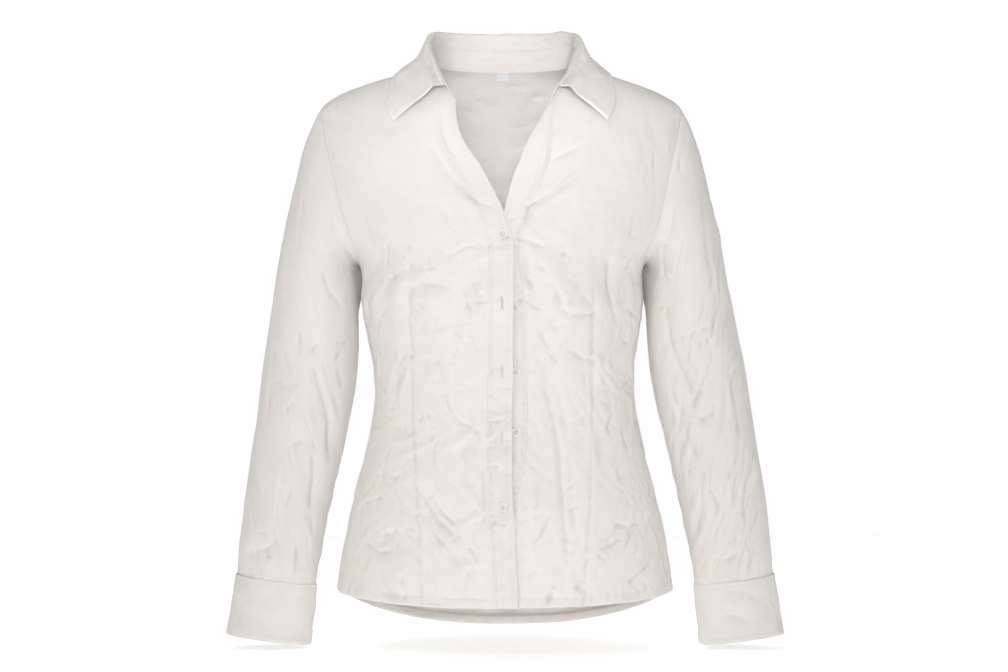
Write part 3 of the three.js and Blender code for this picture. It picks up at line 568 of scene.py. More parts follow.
def hand_creases(creases, x, z):
    total = np.zeros(x.shape)
    for height, width, path in creases:
        points = np.array(path, float)
        reach = CREASE_REACH * width
        low, high = points.min(axis=0) - reach, points.max(axis=0) + reach
        near = (x > low[0]) & (x < high[0]) & (z > low[1]) & (z < high[1])
        if near.any():
            away, share = run_distance(x[near], z[near], path)
            taper = np.clip(4 * share * (1 - share), 0, 1) ** CREASE_TAPER
            uneven = 1 + CREASE_UNEVEN * np.sin(share * 9 + points[0, 0])
            across = -np.sign(height) * away / (CREASE_CRISPNESS * width)
            total[near] += height * taper * uneven * crease_profile(across)
    return total


def broad_folds(folds, x, z):
    total = np.zeros(x.shape)
    for from_x, from_z, to_x, to_z, width, height in folds:
        away, share = run_distance(x, z, [(from_x, from_z), (to_x, to_z)])
        total += height * np.exp(-((away / width) ** 2)) * (0.35 + 0.65 * np.sin(np.pi * share))
    return total


def undulation(points):
    """Slow waves of the loose cloth, the same on both sides of a seam."""
    x, y, z = points[..., 0], points[..., 1], points[..., 2]
    drift = 1.4 * np.sin(z / 71 + 0.6) + 0.9 * np.sin((x + y) / 53)
    waves = 0.55 * np.sin(x / 15.5 + y / 19 + drift) * np.sin(z / 33 + 0.8 * drift + 1)
    waves += 0.4 * np.sin(x / 9.2 - y / 11 + z / 41 + 2 * drift) * np.sin(z / 19 - x / 37 + 2)
    return waves + 0.25 * np.sin(x / 5.7 + y / 6.3 + 1.5 * drift) * np.sin(z / 27 + x / 13)


def crumple(flat, z, seed, count, length, width, height, lean, spread):
    """Many small creases scattered over the cloth, most of them leaning one way."""
    rng = np.random.default_rng(seed)
    low = np.array([flat.min(), z.min()])
    high = np.array([flat.max(), z.max()])
    total = np.zeros(flat.shape)
    for _ in range(count):
        centre = rng.uniform(low, high)
        half = rng.uniform(*length) / 2
        across_width = rng.uniform(*width)
        rise = rng.uniform(*height) * rng.choice([-1, -1, 1])
        angle = math.radians(rng.normal(lean, spread))
        bend = rng.uniform(-0.25, 0.25) / half
        reach = half + CRUMPLE_REACH * across_width
        near = (np.abs(flat - centre[0]) < reach) & (np.abs(z - centre[1]) < reach)
        if not near.any():
            continue
        dx, dz = flat[near] - centre[0], z[near] - centre[1]
        along = dx * math.sin(angle) + dz * math.cos(angle)
        across = dx * math.cos(angle) - dz * math.sin(angle) + bend * along**2
        taper = np.clip(1 - (along / half) ** 2, 0, 1) ** CRUMPLE_TAPER
        total[near] += rise * taper * crease_profile(across / across_width)
    return total


def crumples(kind, flat, z, seed):
    return sum(crumple(flat, z, seed + step, *values) for step, *values in CRUMPLES[kind])


def meander(u, v, seed, wavelength, lean, spread):
    """A smooth field that swings round zero, its zero lines wandering mostly one way."""
    rng = np.random.default_rng(seed)
    total = np.zeros(u.shape)
    for _ in range(MEANDER_WAVES):
        angle = math.radians(rng.normal(lean, spread))
        turns = 2 * np.pi / (wavelength * rng.uniform(0.7, 1.45))
        total += np.sin(turns * (u * math.cos(angle) + v * math.sin(angle)) + rng.uniform(0, 7))
    return total * MEANDER_SCALE


def crushed(u, v, seed, lean=0, spread=38):
    """The facets of crushed cloth: flat slopes that meet in sharp creases, strong here and weak there."""
    bent_u = u + FACET_BEND * meander(u, v, seed + 1, FACET_BEND_WAVE, 45, 60)
    bent_v = v + FACET_BEND * meander(u, v, seed + 2, FACET_BEND_WAVE, 45, 60)
    total = np.zeros(u.shape)
    for k, (wavelength, height) in enumerate(FACETS):
        swing = meander(bent_u, bent_v, seed + 10 + k, wavelength, lean, spread)
        strength = smooth(meander(u, v, seed + 20 + k, wavelength * 2.2, 40, 70), -0.7, 0.9)
        total += height * strength * (np.sqrt(swing**2 + 0.004) - 0.45)
    return total


def between(bottom, top, left, right):
    """A grid between four edges."""
    u = np.linspace(0, 1, len(bottom))[None, :, None]
    v = np.linspace(0, 1, len(left))[:, None, None]
    sides = blend(left[:, None], right[:, None], u)
    ends = blend(bottom[None], top[None], v)
    corners = blend(blend(bottom[0], bottom[-1], u), blend(top[0], top[-1], u), v)
    return sides + ends - corners


def side_line(face):
    side = blend(SIDE_HEM_Z, UNDERARM_Z, np.linspace(0, 1, SIDE_ROWS + 1) ** 0.94)
    turning = np.pi * (1 - np.linspace(0, 1, ARMHOLE_ROWS + 1)[1:])
    armhole = blend(SHOULDER_Z, UNDERARM_Z, (1 - np.cos(turning)) / 2)
    cut = (-FRONT_ARMHOLE_TURN if face == "front" else BACK_ARMHOLE_TURN) * np.maximum(0, np.sin(turning))
    turns = np.concatenate([np.full(side.shape, 90.0), 90 + cut])
    return np.stack([turns, np.concatenate([side, armhole])], -1)


def flatten(places):
    flat = places.copy()
    flat[..., 0] *= SECTION("width", places[..., 1]) / 90
    return flat


def half_panel(face, middle_edge, neck, shoulder_columns):
    shoulder_z = blend(NECK_TOP_Z, SHOULDER_Z, np.linspace(0, 1, shoulder_columns + 1) ** 0.95)
    shoulder = np.stack([np.full(shoulder_z.shape, 90.0), shoulder_z], -1)
    top = np.concatenate([neck[:-1], shoulder])
    drop = FRONT_HEM_DROP if face == "front" else BACK_HEM_DROP
    turns = np.linspace(middle_edge[0, 0], 90, len(top))
    bottom = np.stack([turns, SIDE_HEM_Z - drop * np.abs(np.cos(np.radians(turns))) ** HEM_SWEEP], -1)
    flat = between(flatten(bottom), flatten(top), flatten(middle_edge), flatten(side_line(face)))
    places = flat.copy()
    places[..., 0] *= 90 / SECTION("width", flat[..., 1])
    return places


def edge_x(hand, z):
    side = -1 if hand == "right" else 1
    return EDGE[hand]("x", z) - side * HANG("x", z) * (1 - smooth(z, -110, -45))


def beside(hand, z, distance):
    x = edge_x(hand, z)
    lean = (edge_x(hand, z + 3) - edge_x(hand, z - 3)) / 6
    slant = np.hypot(1, lean)
    start, end = NECK[hand][0], NECK[hand][2]
    share = distance / BAND_WIDTH
    at_neck = smooth(z, start[1] - 55, start[1])
    return (
        x + blend(distance / slant, share * (end[0] - start[0]), at_neck),
        z + blend(-distance * lean / slant, share * (end[1] - start[1]), at_neck),
    )


def grid_normals(grid, wrapped=False):
    along = np.roll(grid, -1, 1) - np.roll(grid, 1, 1) if wrapped else np.gradient(grid, axis=1)
    return unit(np.cross(along, np.gradient(grid, axis=0)))


def surface_area(grid, wrapped):
    if wrapped:
        grid = np.concatenate([grid, grid[:, :1]], axis=1)
    a, b, c, d = grid[:-1, :-1], grid[:-1, 1:], grid[1:, 1:], grid[1:, :-1]
    first = np.linalg.norm(np.cross(b - a, c - a), axis=-1)
    second = np.linalg.norm(np.cross(c - a, d - a), axis=-1)
    return (first + second).sum() / 2


class Cloth:
    """Cloth as a grid of outer points where they hang, with their normals and the places on its grain."""

    def __init__(self, points, normals, grain, wrapped=False):
        self.points = points
        self.normals = normals
        self.grain = grain
        self.wrapped = wrapped

    def sample(self, row, column):
        """Points and normals at fractional rows and columns."""
        row, column = np.broadcast_arrays(np.asarray(row, float), np.asarray(column, float))
        rows, columns = self.points.shape[:2]
        r = np.clip(np.floor(row).astype(int), 0, rows - 2)
        c = np.clip(np.floor(column).astype(int), 0, columns - 2)
        u, v = (column - c)[..., None], (row - r)[..., None]
        read = [
            blend(blend(a[r, c], a[r, c + 1], u), blend(a[r + 1, c], a[r + 1, c + 1], u), v)
            for a in (self.points, self.normals)
        ]
        return read[0], unit(read[1])

    def seen_at(self, x, z, facing=-1):
        """The point and normal seen at x and z from the front (facing=-1) or the back (facing=1)."""
        away = (self.points[..., 0] - x) ** 2 + (self.points[..., 2] - z) ** 2
        away = np.where(self.normals[..., 1] * facing > 0, away, 1e9)
        row, column = np.unravel_index(np.argmin(away), away.shape)
        point, normal = self.points[row, column], self.normals[row, column]
        y = point[1] - ((x - point[0]) * normal[0] + (z - point[2]) * normal[2]) / normal[1]
        return np.array([x, y, z]), normal

    def flat_size(self):
        ring = np.concatenate([self.points, self.points[:, :1]], axis=1) if self.wrapped else self.points
        width = np.linalg.norm(np.diff(ring, axis=1), axis=-1).sum(axis=1).max()
        length = np.linalg.norm(np.diff(self.points, axis=0), axis=-1).sum(axis=0).max()
        area = surface_area(self.points, self.wrapped)
        return width * MM, length * MM, min(area * MM * MM, width * length * MM * MM)


def sewn_groove(distance, along, width=1.1, depth=0.4, pucker=0.22, pitch=7.5):
    """The dip of a stitched line, with the small puckers that cross it."""
    ripple = np.sin(2 * np.pi * along / pitch + 1.7 * np.sin(along / 23)) * (0.6 + 0.4 * np.sin(along / 41))
    dip = -depth * np.exp(-((distance / width) ** 2))
    return dip + pucker * ripple * np.exp(-((distance / PUCKER_REACH) ** 2))


def dart_relief(path, x, z):
    away, share = run_distance(x, z, path)
    grown = smooth(share, 0, 0.12)
    return grown * sewn_groove(away, z, width=2.4, depth=0.42, pucker=0.05, pitch=11)


def hem_groove(points):
    return sewn_groove(run_along(points) - HEM_DEPTH, points[..., 0], depth=0.35, pucker=0.3, pitch=8.5)


def edge_groove(distance, along, pucker):
    return sewn_groove(distance, along, width=0.9, depth=0.3, pucker=pucker)


def facing_share(normals, face):
    """1 where the cloth faces the front or the back squarely, and 0 where it turns to the side."""
    return smooth(-normals[..., 1] if face == "front" else normals[..., 1], 0.05, 0.45)


def sizes():
    return bpy.context.scene.shirt_sizes


def body_cloth(face, places, seam_distance, seed, hand=None):
    """The cloth of a front or of the back: its skin with every fold and crease, where it hangs."""
    turn, z = places[..., 0], places[..., 1]
    base = skin(turn, z)
    normal = outward(turn, z)
    at = hung(base)
    x = at[..., 0]
    shown = facing_share(normal, face)
    folds = shown * broad_folds(BODY_FOLDS[face], base[..., 0], z)
    creases = shown * hand_creases(FRONT_CREASES if face == "front" else BACK_CREASES, x, z)
    for path in [DARTS[hand]] if face == "front" else BACK_DARTS:
        creases += shown * dart_relief(path, x, z)
    flat = (turn - (0 if face == "front" else 180)) * SECTION("width", z) / 90
    small = crumples("body", flat, z, seed)
    small += crushed(flat, z, seed) * CRUSH[face]
    smoother = smooth(z, -230, -180) * CHEST_CALM[face]
    small *= (1 - smoother * smooth(np.abs(x), 24, 40)) * blend(0.4, 1, shown)
    small *= 1 - 0.65 * smooth(z, -62, -36) * (1 - smooth(np.abs(x), 120, 150))
    calm = smooth(seam_distance, 0, SEAM_CALM)
    hem_flare = np.exp(-(z - SIDE_HEM_Z + 20) / 45) * 1.1 * np.sin(x / 17 + 1.3 * np.sin(x / 41 + 1)) * shown
    height = folds + sizes().crease * creases + undulation(at) * calm * 0.8
    height += sizes().crumple * small * blend(0.35, 1, calm) + hem_flare * smooth(-z, 480, 560)
    if hand == "right":
        loose = [BUTTON_PLACES[name][1] for name in ("button_2", "button_3", "button_4")]
        over_button = sum(np.exp(-(((z - button_z) / 17) ** 2)) for button_z in loose)
        undone = smooth(z, -425, -400) * (1 - smooth(z, -262, -240))
        lift = LIFT("lift", z) * (1 - 0.4 * undone * np.maximum(0, 1 - 1.15 * over_button))
        height += lift * smooth(base[..., 0], -46, -16)
    return base + normal * height[..., None], flat, z


def front_cloth(hand):
    """A front as cloth, its first columns beside its edge."""
    side = -1 if hand == "right" else 1
    neck_z = NECK[hand][0][1]
    heights = np.concatenate([
        np.linspace(SIDE_HEM_Z - FRONT_HEM_DROP, UNDERARM_ROW_Z, SIDE_ROWS, endpoint=False),
        np.linspace(UNDERARM_ROW_Z, neck_z, ARMHOLE_ROWS + 1),
    ])
    distance = np.linspace(0, BAND_WIDTH, BAND_COLUMNS + 1)
    x, low = beside(hand, heights[:, None], distance[None, :])
    banded = np.stack([turn_at(x, low), low], -1)
    corners = [(turn_at(nx, nz), nz) for nx, nz in NECK[hand][2:]] + [(90, NECK_TOP_Z)]
    line = Curve("k turn z", [(k, *corner) for k, corner in enumerate(corners)])
    steps = np.linspace(0, 2, NECK_COLUMNS + 1)
    neck = np.stack([line("turn", steps), line("z", steps)], -1)
    neck[0] = banded[-1, -1]
    rest = half_panel("front", banded[:, -1], neck, SHOULDER_COLUMNS)
    places = np.concatenate([banded[:, :-1], rest], axis=1)
    columns = places.shape[1]
    flat = SECTION("width", places[..., 1]) * places[..., 0] / 90
    to_side = (flat[:, -1:] - flat) + 3 * (np.arange(places.shape[0])[:, None] < SIDE_ROWS)
    to_side = np.where(np.arange(places.shape[0])[:, None] < SIDE_ROWS - 4, FAR_FROM_SEAM, to_side)
    near_neck = np.arange(columns)[None, :] < BAND_COLUMNS + NECK_COLUMNS + 4
    to_neck = np.where(near_neck, places[-1:, :, 1] - places[..., 1], FAR_FROM_SEAM)
    places = places.copy()
    places[..., 0] *= side
    seam_distance = np.minimum(to_side, to_neck)
    points, grain_x, grain_z = body_cloth("front", places, seam_distance, 11 if side < 0 else 23, hand)
    reach = np.minimum(np.arange(columns)[None, :] * BAND_WIDTH / BAND_COLUMNS, 60)
    sewn = sewn_groove(reach - BAND_FOLD, places[..., 1])
    sewn = sewn + sewn_groove(reach - BAND_STITCHES[0], places[..., 1], depth=0.16, pucker=0.1)
    sewn = np.where(reach > 30, 0, sewn) + hem_groove(points)
    normal = outward(places[..., 0], places[..., 1])
    points = hung(points + normal * sewn[..., None])
    normals = side * grid_normals(points)
    return Cloth(points, normals, (grain_x, grain_z))


def back_cloth():
    """The back as cloth, from the right side line to the left."""
    up = np.linspace(0, 1, SIDE_ROWS + ARMHOLE_ROWS + 1) ** 0.92
    edge_z = blend(SIDE_HEM_Z - BACK_HEM_DROP, BACK_NECK_Z, up)
    edge = np.stack([np.full(edge_z.shape, 180.0), edge_z], -1)
    t = np.linspace(0, 1, BACK_NECK_COLUMNS + 1)
    neck = np.stack([blend(180, 90, t), blend(BACK_NECK_Z, NECK_TOP_Z, t * t)], -1)
    half = half_panel("back", edge, neck, BACK_SHOULDER_COLUMNS)
    other = half[:, :0:-1].copy()
    other[..., 0] *= -1
    places = np.concatenate([other, half], axis=1)
    middle = half.shape[1] - 1
    columns = np.arange(places.shape[1])
    in_from_side = np.minimum(columns, columns[::-1]) * 2.1
    rows = np.arange(places.shape[0])[:, None]
    to_side = np.where(rows < SIDE_ROWS - 4, FAR_FROM_SEAM, in_from_side[None, :] + 0 * rows)
    near_neck = np.abs(columns - middle)[None, :] < BACK_NECK_COLUMNS + 4
    to_neck = np.where(near_neck, places[-1:, :, 1] - places[..., 1], FAR_FROM_SEAM)
    turned = places.copy()
    turned[..., 0] = np.where(places[..., 0] < 0, places[..., 0] + 360, places[..., 0])
    points, grain_x, grain_z = body_cloth("back", turned, np.minimum(to_side, to_neck), 37)
    normal = outward(turned[..., 0], turned[..., 1])
    points = hung(points + normal * hem_groove(points)[..., None])
    return Cloth(points, -grid_normals(points), (grain_x, grain_z))


# ---- sleeves and cuffs ----
def ring(curve, key, count, side):
    """Points round a sleeve or cuff section, from its outer point by way of the front."""
    angle = np.arange(count) * 2 * np.pi / count
    share = (1 + np.cos(angle)) / 2
    read = {name: curve(name, key)[..., None] for name in ("ox", "oz", "ix", "iz", "deep", "y")}
    x = side * blend(read["ix"], read["ox"], share)
    y = read["y"] - read["deep"] * np.sin(angle)
    return np.stack([x, y, blend(read["iz"], read["oz"], share)], -1)


def armhole(front, back, side):
    """The seam's points where they hang: from the shoulder down the front, then up the back."""
    down = front.points[SIDE_ROWS:, -1][::-1]
    up = back.points[SIDE_ROWS:, 0 if side < 0 else -1]
    return np.concatenate([down[:-1], up[:-1]])


def sleeve_cloth(side, front, back):
    seam = hung(armhole(front, back, side), -1)
    count = len(seam)
    t = SLEEVE_END * np.linspace(0, 1, SLEEVE_RINGS + 1) ** 1.04
    grid = ring(SLEEVE, t, count, side)
    grid = grid + (seam - grid[0])[None] * (1 - smooth(t, 0, CAP_END))[:, None, None]
    out = unit(grid - grid.mean(axis=1, keepdims=True))
    at = hung(grid)
    x, z = at[..., 0], at[..., 2]
    length = run_along(grid)
    around = run_along(grid, 1)
    height = np.zeros(x.shape)
    for face, creases in (("front", SLEEVE_FRONT_CREASES), ("back", SLEEVE_BACK_CREASES)):
        shown = facing_share(out, face)
        height += shown * (broad_folds(SLEEVE_FOLDS[face], grid[..., 0], z) * smooth(t, 2, 5)[:, None])
        height += shown * sizes().crease * hand_creases(creases, x, z)
    seed = 61 if side < 0 else 73
    small = crumples("sleeve", around, length, seed)
    to_seam = np.minimum(around, around[:, -1:] - around)
    grown = blend(0.35, 1.05, smooth(length, 60, 230))
    small += crushed(around, length, seed, 30, 62) * smooth(to_seam, 0, 16) * grown
    small *= blend(1, 0.35, smooth(np.abs(out[..., 0]), 0.8, 1)) * (0.42 if side < 0 else 0.68)
    elbow = np.exp(-(((length - 290) / 70) ** 2)) * smooth(out[..., 0] * -side, -0.2, 0.8)
    small += elbow * 0.5 * np.sin(length / 5.2 + 1.2 * np.sin(around / 15))
    calm = smooth(length, 2, 18) * (1 - 0.7 * smooth(t, 13.3, 14)[:, None])
    height = (height + sizes().crumple * small + undulation(at)) * calm
    seam_valley = -1.1 * np.exp(-((length / 1.6) ** 2)) + 0.55 * np.exp(-(((length - 6) / 5) ** 2))
    height += seam_valley * (length > 0)
    gathers = 0.45 * np.sin(2 * np.pi * around / around[:, -1:] * 19 + 2 * np.sin(around / 37))
    height += gathers * smooth(t, 12.9, 13.9)[:, None] * 0.6
    points = hung(grid + out * height[..., None])
    angle = np.degrees(np.arange(count) * 2 * np.pi / count)[None]
    tucked = np.exp(-(((angle - 196) / 17) ** 2)) * smooth(t, 0, 2.5)[:, None]
    tucked = tucked * smooth(points[..., 2], -268, -240)
    beside_body = side * (SECTION("width", points[..., 2]) - 0.5) + HANG("x", points[..., 2])
    inwards = beside_body - points[..., 0]
    points[..., 0] += np.where(side * inwards < 0, tucked * inwards, 0)
    points[0] = armhole(front, back, side)
    normals = grid_normals(points, True) * (1 if side < 0 else -1)
    middles = points.mean(axis=1, keepdims=True)
    if ((points - middles) * normals).sum() < 0:
        normals = -normals
    return Cloth(points, normals, (around, length), True)


def cuff_cloth(side):
    """A cuff is a strip round the wrist, whose end passes over its start at the back."""
    share_round = np.linspace(0, 1, CUFF_COLUMNS + 1)
    turn_over = math.degrees(CUFF_OVERLAP / 40)
    angle = np.radians(CUFF_START - share_round * (360 + turn_over))
    down = np.linspace(0, 1, CUFF_ROWS + 1)[:, None]
    share = (1 + np.cos(angle)) / 2
    x = side * blend(CUFF("ix", down), CUFF("ox", down), share)
    y = CUFF("y", down) - CUFF("deep", down) * np.sin(angle)
    z = blend(CUFF("iz", down), CUFF("oz", down), share) + 0 * down
    out = np.stack([side * np.cos(angle), -np.sin(angle), 0 * angle], -1)[None]
    grid = np.stack([x, y, z], -1)
    around = run_along(grid, 1)
    length = run_along(grid)
    height = CUFF_RISE * smooth(share_round, 0.8, 0.91)[None] + 0 * length
    foot = length[-1:]
    sewn = sum(edge_groove(reach - CUFF_STITCH, around, 0.16) for reach in (length, foot - length))
    small = crumples("cuff", around, length, 91 if side < 0 else 97)
    small += crushed(around, length, 92 if side < 0 else 98) * 0.45
    middle = np.sin(np.pi * length / foot) ** 0.7
    height = height + sewn + sizes().crumple * small * middle + 0.35 * middle * np.sin(around / 13 + 1)
    points = hung(grid + out * height[..., None])
    normals = grid_normals(points)
    if (out * normals).sum() < 0:
        normals = -normals
    return Cloth(points, normals, (around, length))


# ---- collar ----
def neck_line(fronts, back):
    """The neck seam from right to left, before it hangs, with each place's side and share from the back."""
    front_columns = BAND_COLUMNS + NECK_COLUMNS
    right = fronts["right"].points[-1, :front_columns]
    left = fronts["left"].points[-1, :front_columns][::-1]
    behind = back.points[-1, BACK_SHOULDER_COLUMNS:-BACK_SHOULDER_COLUMNS]
    points = hung(np.concatenate([right, behind, left]), -1)
    centre = len(right) + BACK_NECK_COLUMNS
    along = run_along(points)
    index = np.arange(len(points))
    side = np.where(index < centre, -1, 1)
    ends = np.where(index < centre, along[centre], along[-1] - along[centre])
    return points, side, np.abs(along - along[centre]) / ends


def collar_frame(fronts, back):
    foot, side, share = neck_line(fronts, back)
    top = np.stack([side * ROLL("x", share), ROLL("y", share), ROLL("z", share)], -1)
    turn, z = side * LEAF_EDGE("turn", share), LEAF_EDGE("z", share)
    rest = skin(turn, z) + outward(turn, z) * LEAF_EDGE("off", share)[:, None]
    rise = unit(top - foot)
    height = np.linalg.norm(top - foot, axis=1)[:, None]
    out = (rest - top) * [1, 1, 0]
    return foot, top, rest, rise, unit(out), height, LEAF_EDGE("swell", share)[:, None], share, side


def stand_cloth(fronts, back):
    foot, _, _, rise, _, height, *_ = collar_frame(fronts, back)
    steps = np.linspace(-0.03, 1, 16)
    grid = np.stack([foot + rise * height * STAND_SHARE * step for step in steps])
    up = steps[:, None] * height[:, 0] * STAND_SHARE
    along = run_along(foot) + 0 * up
    small = crumples("stand", along, up, 131)
    relief = small * np.sin(np.pi * np.clip(steps, 0, 1))[:, None] + edge_groove(up - 1.8, along, 0.14)
    points = hung(grid + grid_normals(grid) * relief[..., None])
    return Cloth(points, grid_normals(points), (along, up))


def leaf_cloth(fronts, back):
    """The collar's leaf: up the inside, over the roll and down to its outer edge."""
    foot, top, rest, rise, out, height, swell, share, side = collar_frame(fronts, back)
    seam = foot + rise * height * STAND_SHARE
    inside = top - rise * ROLL_RADIUS
    over = inside + out * 2 * ROLL_RADIUS
    crown = (inside + over) / 2 + rise * 2 * ROLL_RADIUS
    down = rest - over
    turn, z = side * LEAF_EDGE("turn", share), LEAF_EDGE("z", share)
    to_end = smooth(share, 0.72, 1)[:, None]
    push = unit(blend(unit(np.array([0, 0, 1]) + out * 1.2), outward(turn, z), to_end))
    sag = np.array([0, 0, -3.5]) * to_end
    near_roll = np.array([0, 0, 5.0]) * to_end
    rows = [blend(seam, inside, t) for t in np.linspace(0, 1, INSIDE_ROWS, endpoint=False)]
    for t in np.linspace(0, 1, ROLL_ROWS, endpoint=False):
        rows.append(blend(blend(inside, crown, t), blend(crown, over, t), t))
    for t in np.linspace(0, 1, FALL_ROWS):
        bulge = (push * swell * (1 - 0.35 * t) + sag) * np.sin(np.pi * t)
        rows.append(over + down * t + bulge + near_roll * math.exp(-(((t - 0.16) / 0.11) ** 2)))
    grid = np.stack(rows)
    along = run_along(top)[None] + 0 * grid[..., 0]
    up = run_along(grid)
    to_edge = up[-1:] - up
    to_front = np.minimum(along, along[:, -1:] - along)
    edge = np.minimum(to_edge, to_front)
    small = crumples("leaf", along, up, 151)
    small += crushed(along, up, 152, 50, 40) * 0.4
    seams = sewn_groove(edge - COLLAR_STITCH, along + up, width=0.9, depth=0.28, pucker=0.2, pitch=7)
    wave = 0.8 * np.sin(along / 17 + 1.3 * np.sin(up / 19)) * np.sin(up / 13 + 1)
    relief = (small + wave) * smooth(edge, 1, 7) + seams
    points = hung(grid + grid_normals(grid) * relief[..., None])
    return Cloth(points, grid_normals(points), (along, up))


# ---- meshes ----
def fold_depth(grid, normals, wrapped):
    """How sharply the cloth folds: 0 where flat, 1 at the bottom of a sharp crease and -1 on a ridge."""
    total = np.zeros(grid.shape[:2])
    for axis in (0, 1):
        before, after = np.roll(grid, 1, axis), np.roll(grid, -1, axis)
        if axis == 0 or not wrapped:
            for end in (0, -1):
                spot = (end,) if axis == 0 else (slice(None), end)
                before[spot] = after[spot] = grid[spot]
        span = np.linalg.norm(after - before, axis=-1) / 2
        total += ((before + after - 2 * grid) * normals).sum(axis=-1) / np.maximum(span, 0.4) ** 2
    for axis in (0, 1):
        total = (np.roll(total, 1, axis) + 4 * total + np.roll(total, -1, axis)) / 6
    return np.clip(total / SHARP_FOLD, -1, 1)


def link_mesh(name, points, faces, material, corner_grain=None):
    mesh = bpy.data.meshes.new(name)
    mesh.from_pydata(np.ascontiguousarray(points * MM), [], faces)
    mesh.shade_smooth()
    mesh.materials.append(material)
    if corner_grain is not None:
        layer = mesh.uv_layers.new(name="Grain")
        layer.data.foreach_set("uv", np.ascontiguousarray(corner_grain * MM, dtype=np.float32).ravel())
    piece = bpy.data.objects.new(name, mesh)
    bpy.context.scene.collection.objects.link(piece)
    return piece


def shell(name, cloth, thickness, material):
    """A thin closed sheet: the cloth's outer points, an inner layer behind them, and a round rim."""
    outer, wrapped = cloth.points, cloth.wrapped
    rows, columns = outer.shape[:2]
    thickness = np.broadcast_to(thickness, (rows, columns))[..., None]
    inner = outer - cloth.normals * thickness
    across = columns if wrapped else columns - 1
    index = np.arange(rows * columns).reshape(rows, columns)
    right = np.roll(index, -1, 1)[:, :across]
    left = index[:, :across]
    quads = np.stack([left[:-1], right[:-1], right[1:], left[1:]], -1).reshape(-1, 4)
    made = np.cross(outer[0, 1] - outer[0, 0], outer[1, 0] - outer[0, 0]) @ cloth.normals[0, 0]
    if made < 0:
        quads = quads[:, ::-1]
    if wrapped:
        loops = [(index[0], outer[0] - outer[1]), (index[-1], outer[-1] - outer[-2])]
    else:
        border = np.concatenate([index[0, :-1], index[:-1, -1], index[-1, :0:-1], index[:0:-1, 0]])
        away = np.zeros(outer.shape)
        away[0] += unit(outer[0] - outer[1])
        away[-1] += unit(outer[-1] - outer[-2])
        away[:, 0] += unit(outer[:, 0] - outer[:, 1])
        away[:, -1] += unit(outer[:, -1] - outer[:, -2])
        loops = [(border, away.reshape(-1, 3)[border])]
    flat_outer, flat_inner = outer.reshape(-1, 3), inner.reshape(-1, 3)
    flat_thickness = thickness.reshape(-1, 1)
    points, faces = [flat_outer, flat_inner], [quads, quads[:, ::-1] + rows * columns]
    grain = np.stack([np.asarray(g, float) + 0 * outer[..., 0] for g in cloth.grain], -1).reshape(-1, 2)
    all_grain = [grain, grain]
    base = 2 * rows * columns
    for border, away in loops:
        middle = (flat_outer[border] + flat_inner[border]) / 2
        rim = middle + unit(away) * flat_thickness[border] * 0.4
        points.append(rim)
        all_grain.append(grain[border])
        rims = base + np.arange(len(border))
        after, rims_after = np.roll(border, -1), np.roll(rims, -1)
        band = np.concatenate([
            np.stack([border, rims, rims_after, after], -1),
            np.stack([rims, border + rows * columns, after + rows * columns, rims_after], -1),
        ])
        spot = len(band) // 4
        corners = np.concatenate(points)[band[spot]]
        facing = np.cross(corners[1] - corners[0], corners[3] - corners[0])
        if facing @ (rim[spot] - middle[spot]) < 0:
            band = band[:, ::-1]
        faces.append(band)
        base += len(border)
    points, faces, all_grain = np.concatenate(points), np.concatenate(faces), np.concatenate(all_grain)
    corner_grain = all_grain[faces]
    # how sharply the cloth folds, kept as the Fold attribute from which the linen paints shade into its
    # crease valleys; the inner face gets the opposite sign
    folded = fold_depth(outer, cloth.normals, wrapped).ravel()
    folded = np.concatenate([folded, -folded, np.zeros(len(points) - 2 * len(folded))])
    if wrapped:
        total = grain[:, 0].max() + (grain[1, 0] - grain[0, 0])
        wide = corner_grain[..., 0].max(axis=1) - corner_grain[..., 0].min(axis=1) > total / 2
        low = corner_grain[..., 0] < total / 2
        corner_grain[..., 0] += np.where(wide[:, None] & low, total, 0)
    piece = link_mesh(name, points, faces, material, corner_grain.reshape(-1, 2))
    layer = piece.data.attributes.new("Fold", "FLOAT", "POINT")
    layer.data.foreach_set("value", np.ascontiguousarray(folded, dtype=np.float32))
    return piece


def declare(piece, cloth, *nodes, with_pieces=(), held="hung"):
    """Works out the size a sheet of cloth was cut to, attaches it to the body and hides the solids it stands
    for.
    """
    width, length, area = cloth.flat_size()
    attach(piece, BODY)
    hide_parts(*nodes)


# ---- node trees for what repeats ----
def new_tree(name, inputs):
    tree = bpy.data.node_groups.new(name, "GeometryNodeTree")
    tree.interface.new_socket("Path", in_out="INPUT", socket_type="NodeSocketGeometry")
    for label, kind in inputs:
        tree.interface.new_socket(label, in_out="INPUT", socket_type=kind)
    tree.interface.new_socket("Geometry", in_out="OUTPUT", socket_type="NodeSocketGeometry")
    return tree, tree.nodes.new("NodeGroupInput"), tree.nodes.new("NodeGroupOutput")


def finish_tree(tree, start, end, made):
    """Ends a tree in real, smooth faces of thread."""
    realize = tree.nodes.new("GeometryNodeRealizeInstances")
    soft = tree.nodes.new("GeometryNodeSetShadeSmooth")
    thread = tree.nodes.new("GeometryNodeSetMaterial")
    tree.links.new(made, realize.inputs["Geometry"])
    tree.links.new(realize.outputs["Geometry"], soft.inputs["Geometry"])
    tree.links.new(soft.outputs["Geometry"], thread.inputs["Geometry"])
    tree.links.new(start.outputs["Thread"], thread.inputs["Material"])
    tree.links.new(thread.outputs["Geometry"], end.inputs["Geometry"])
    return tree


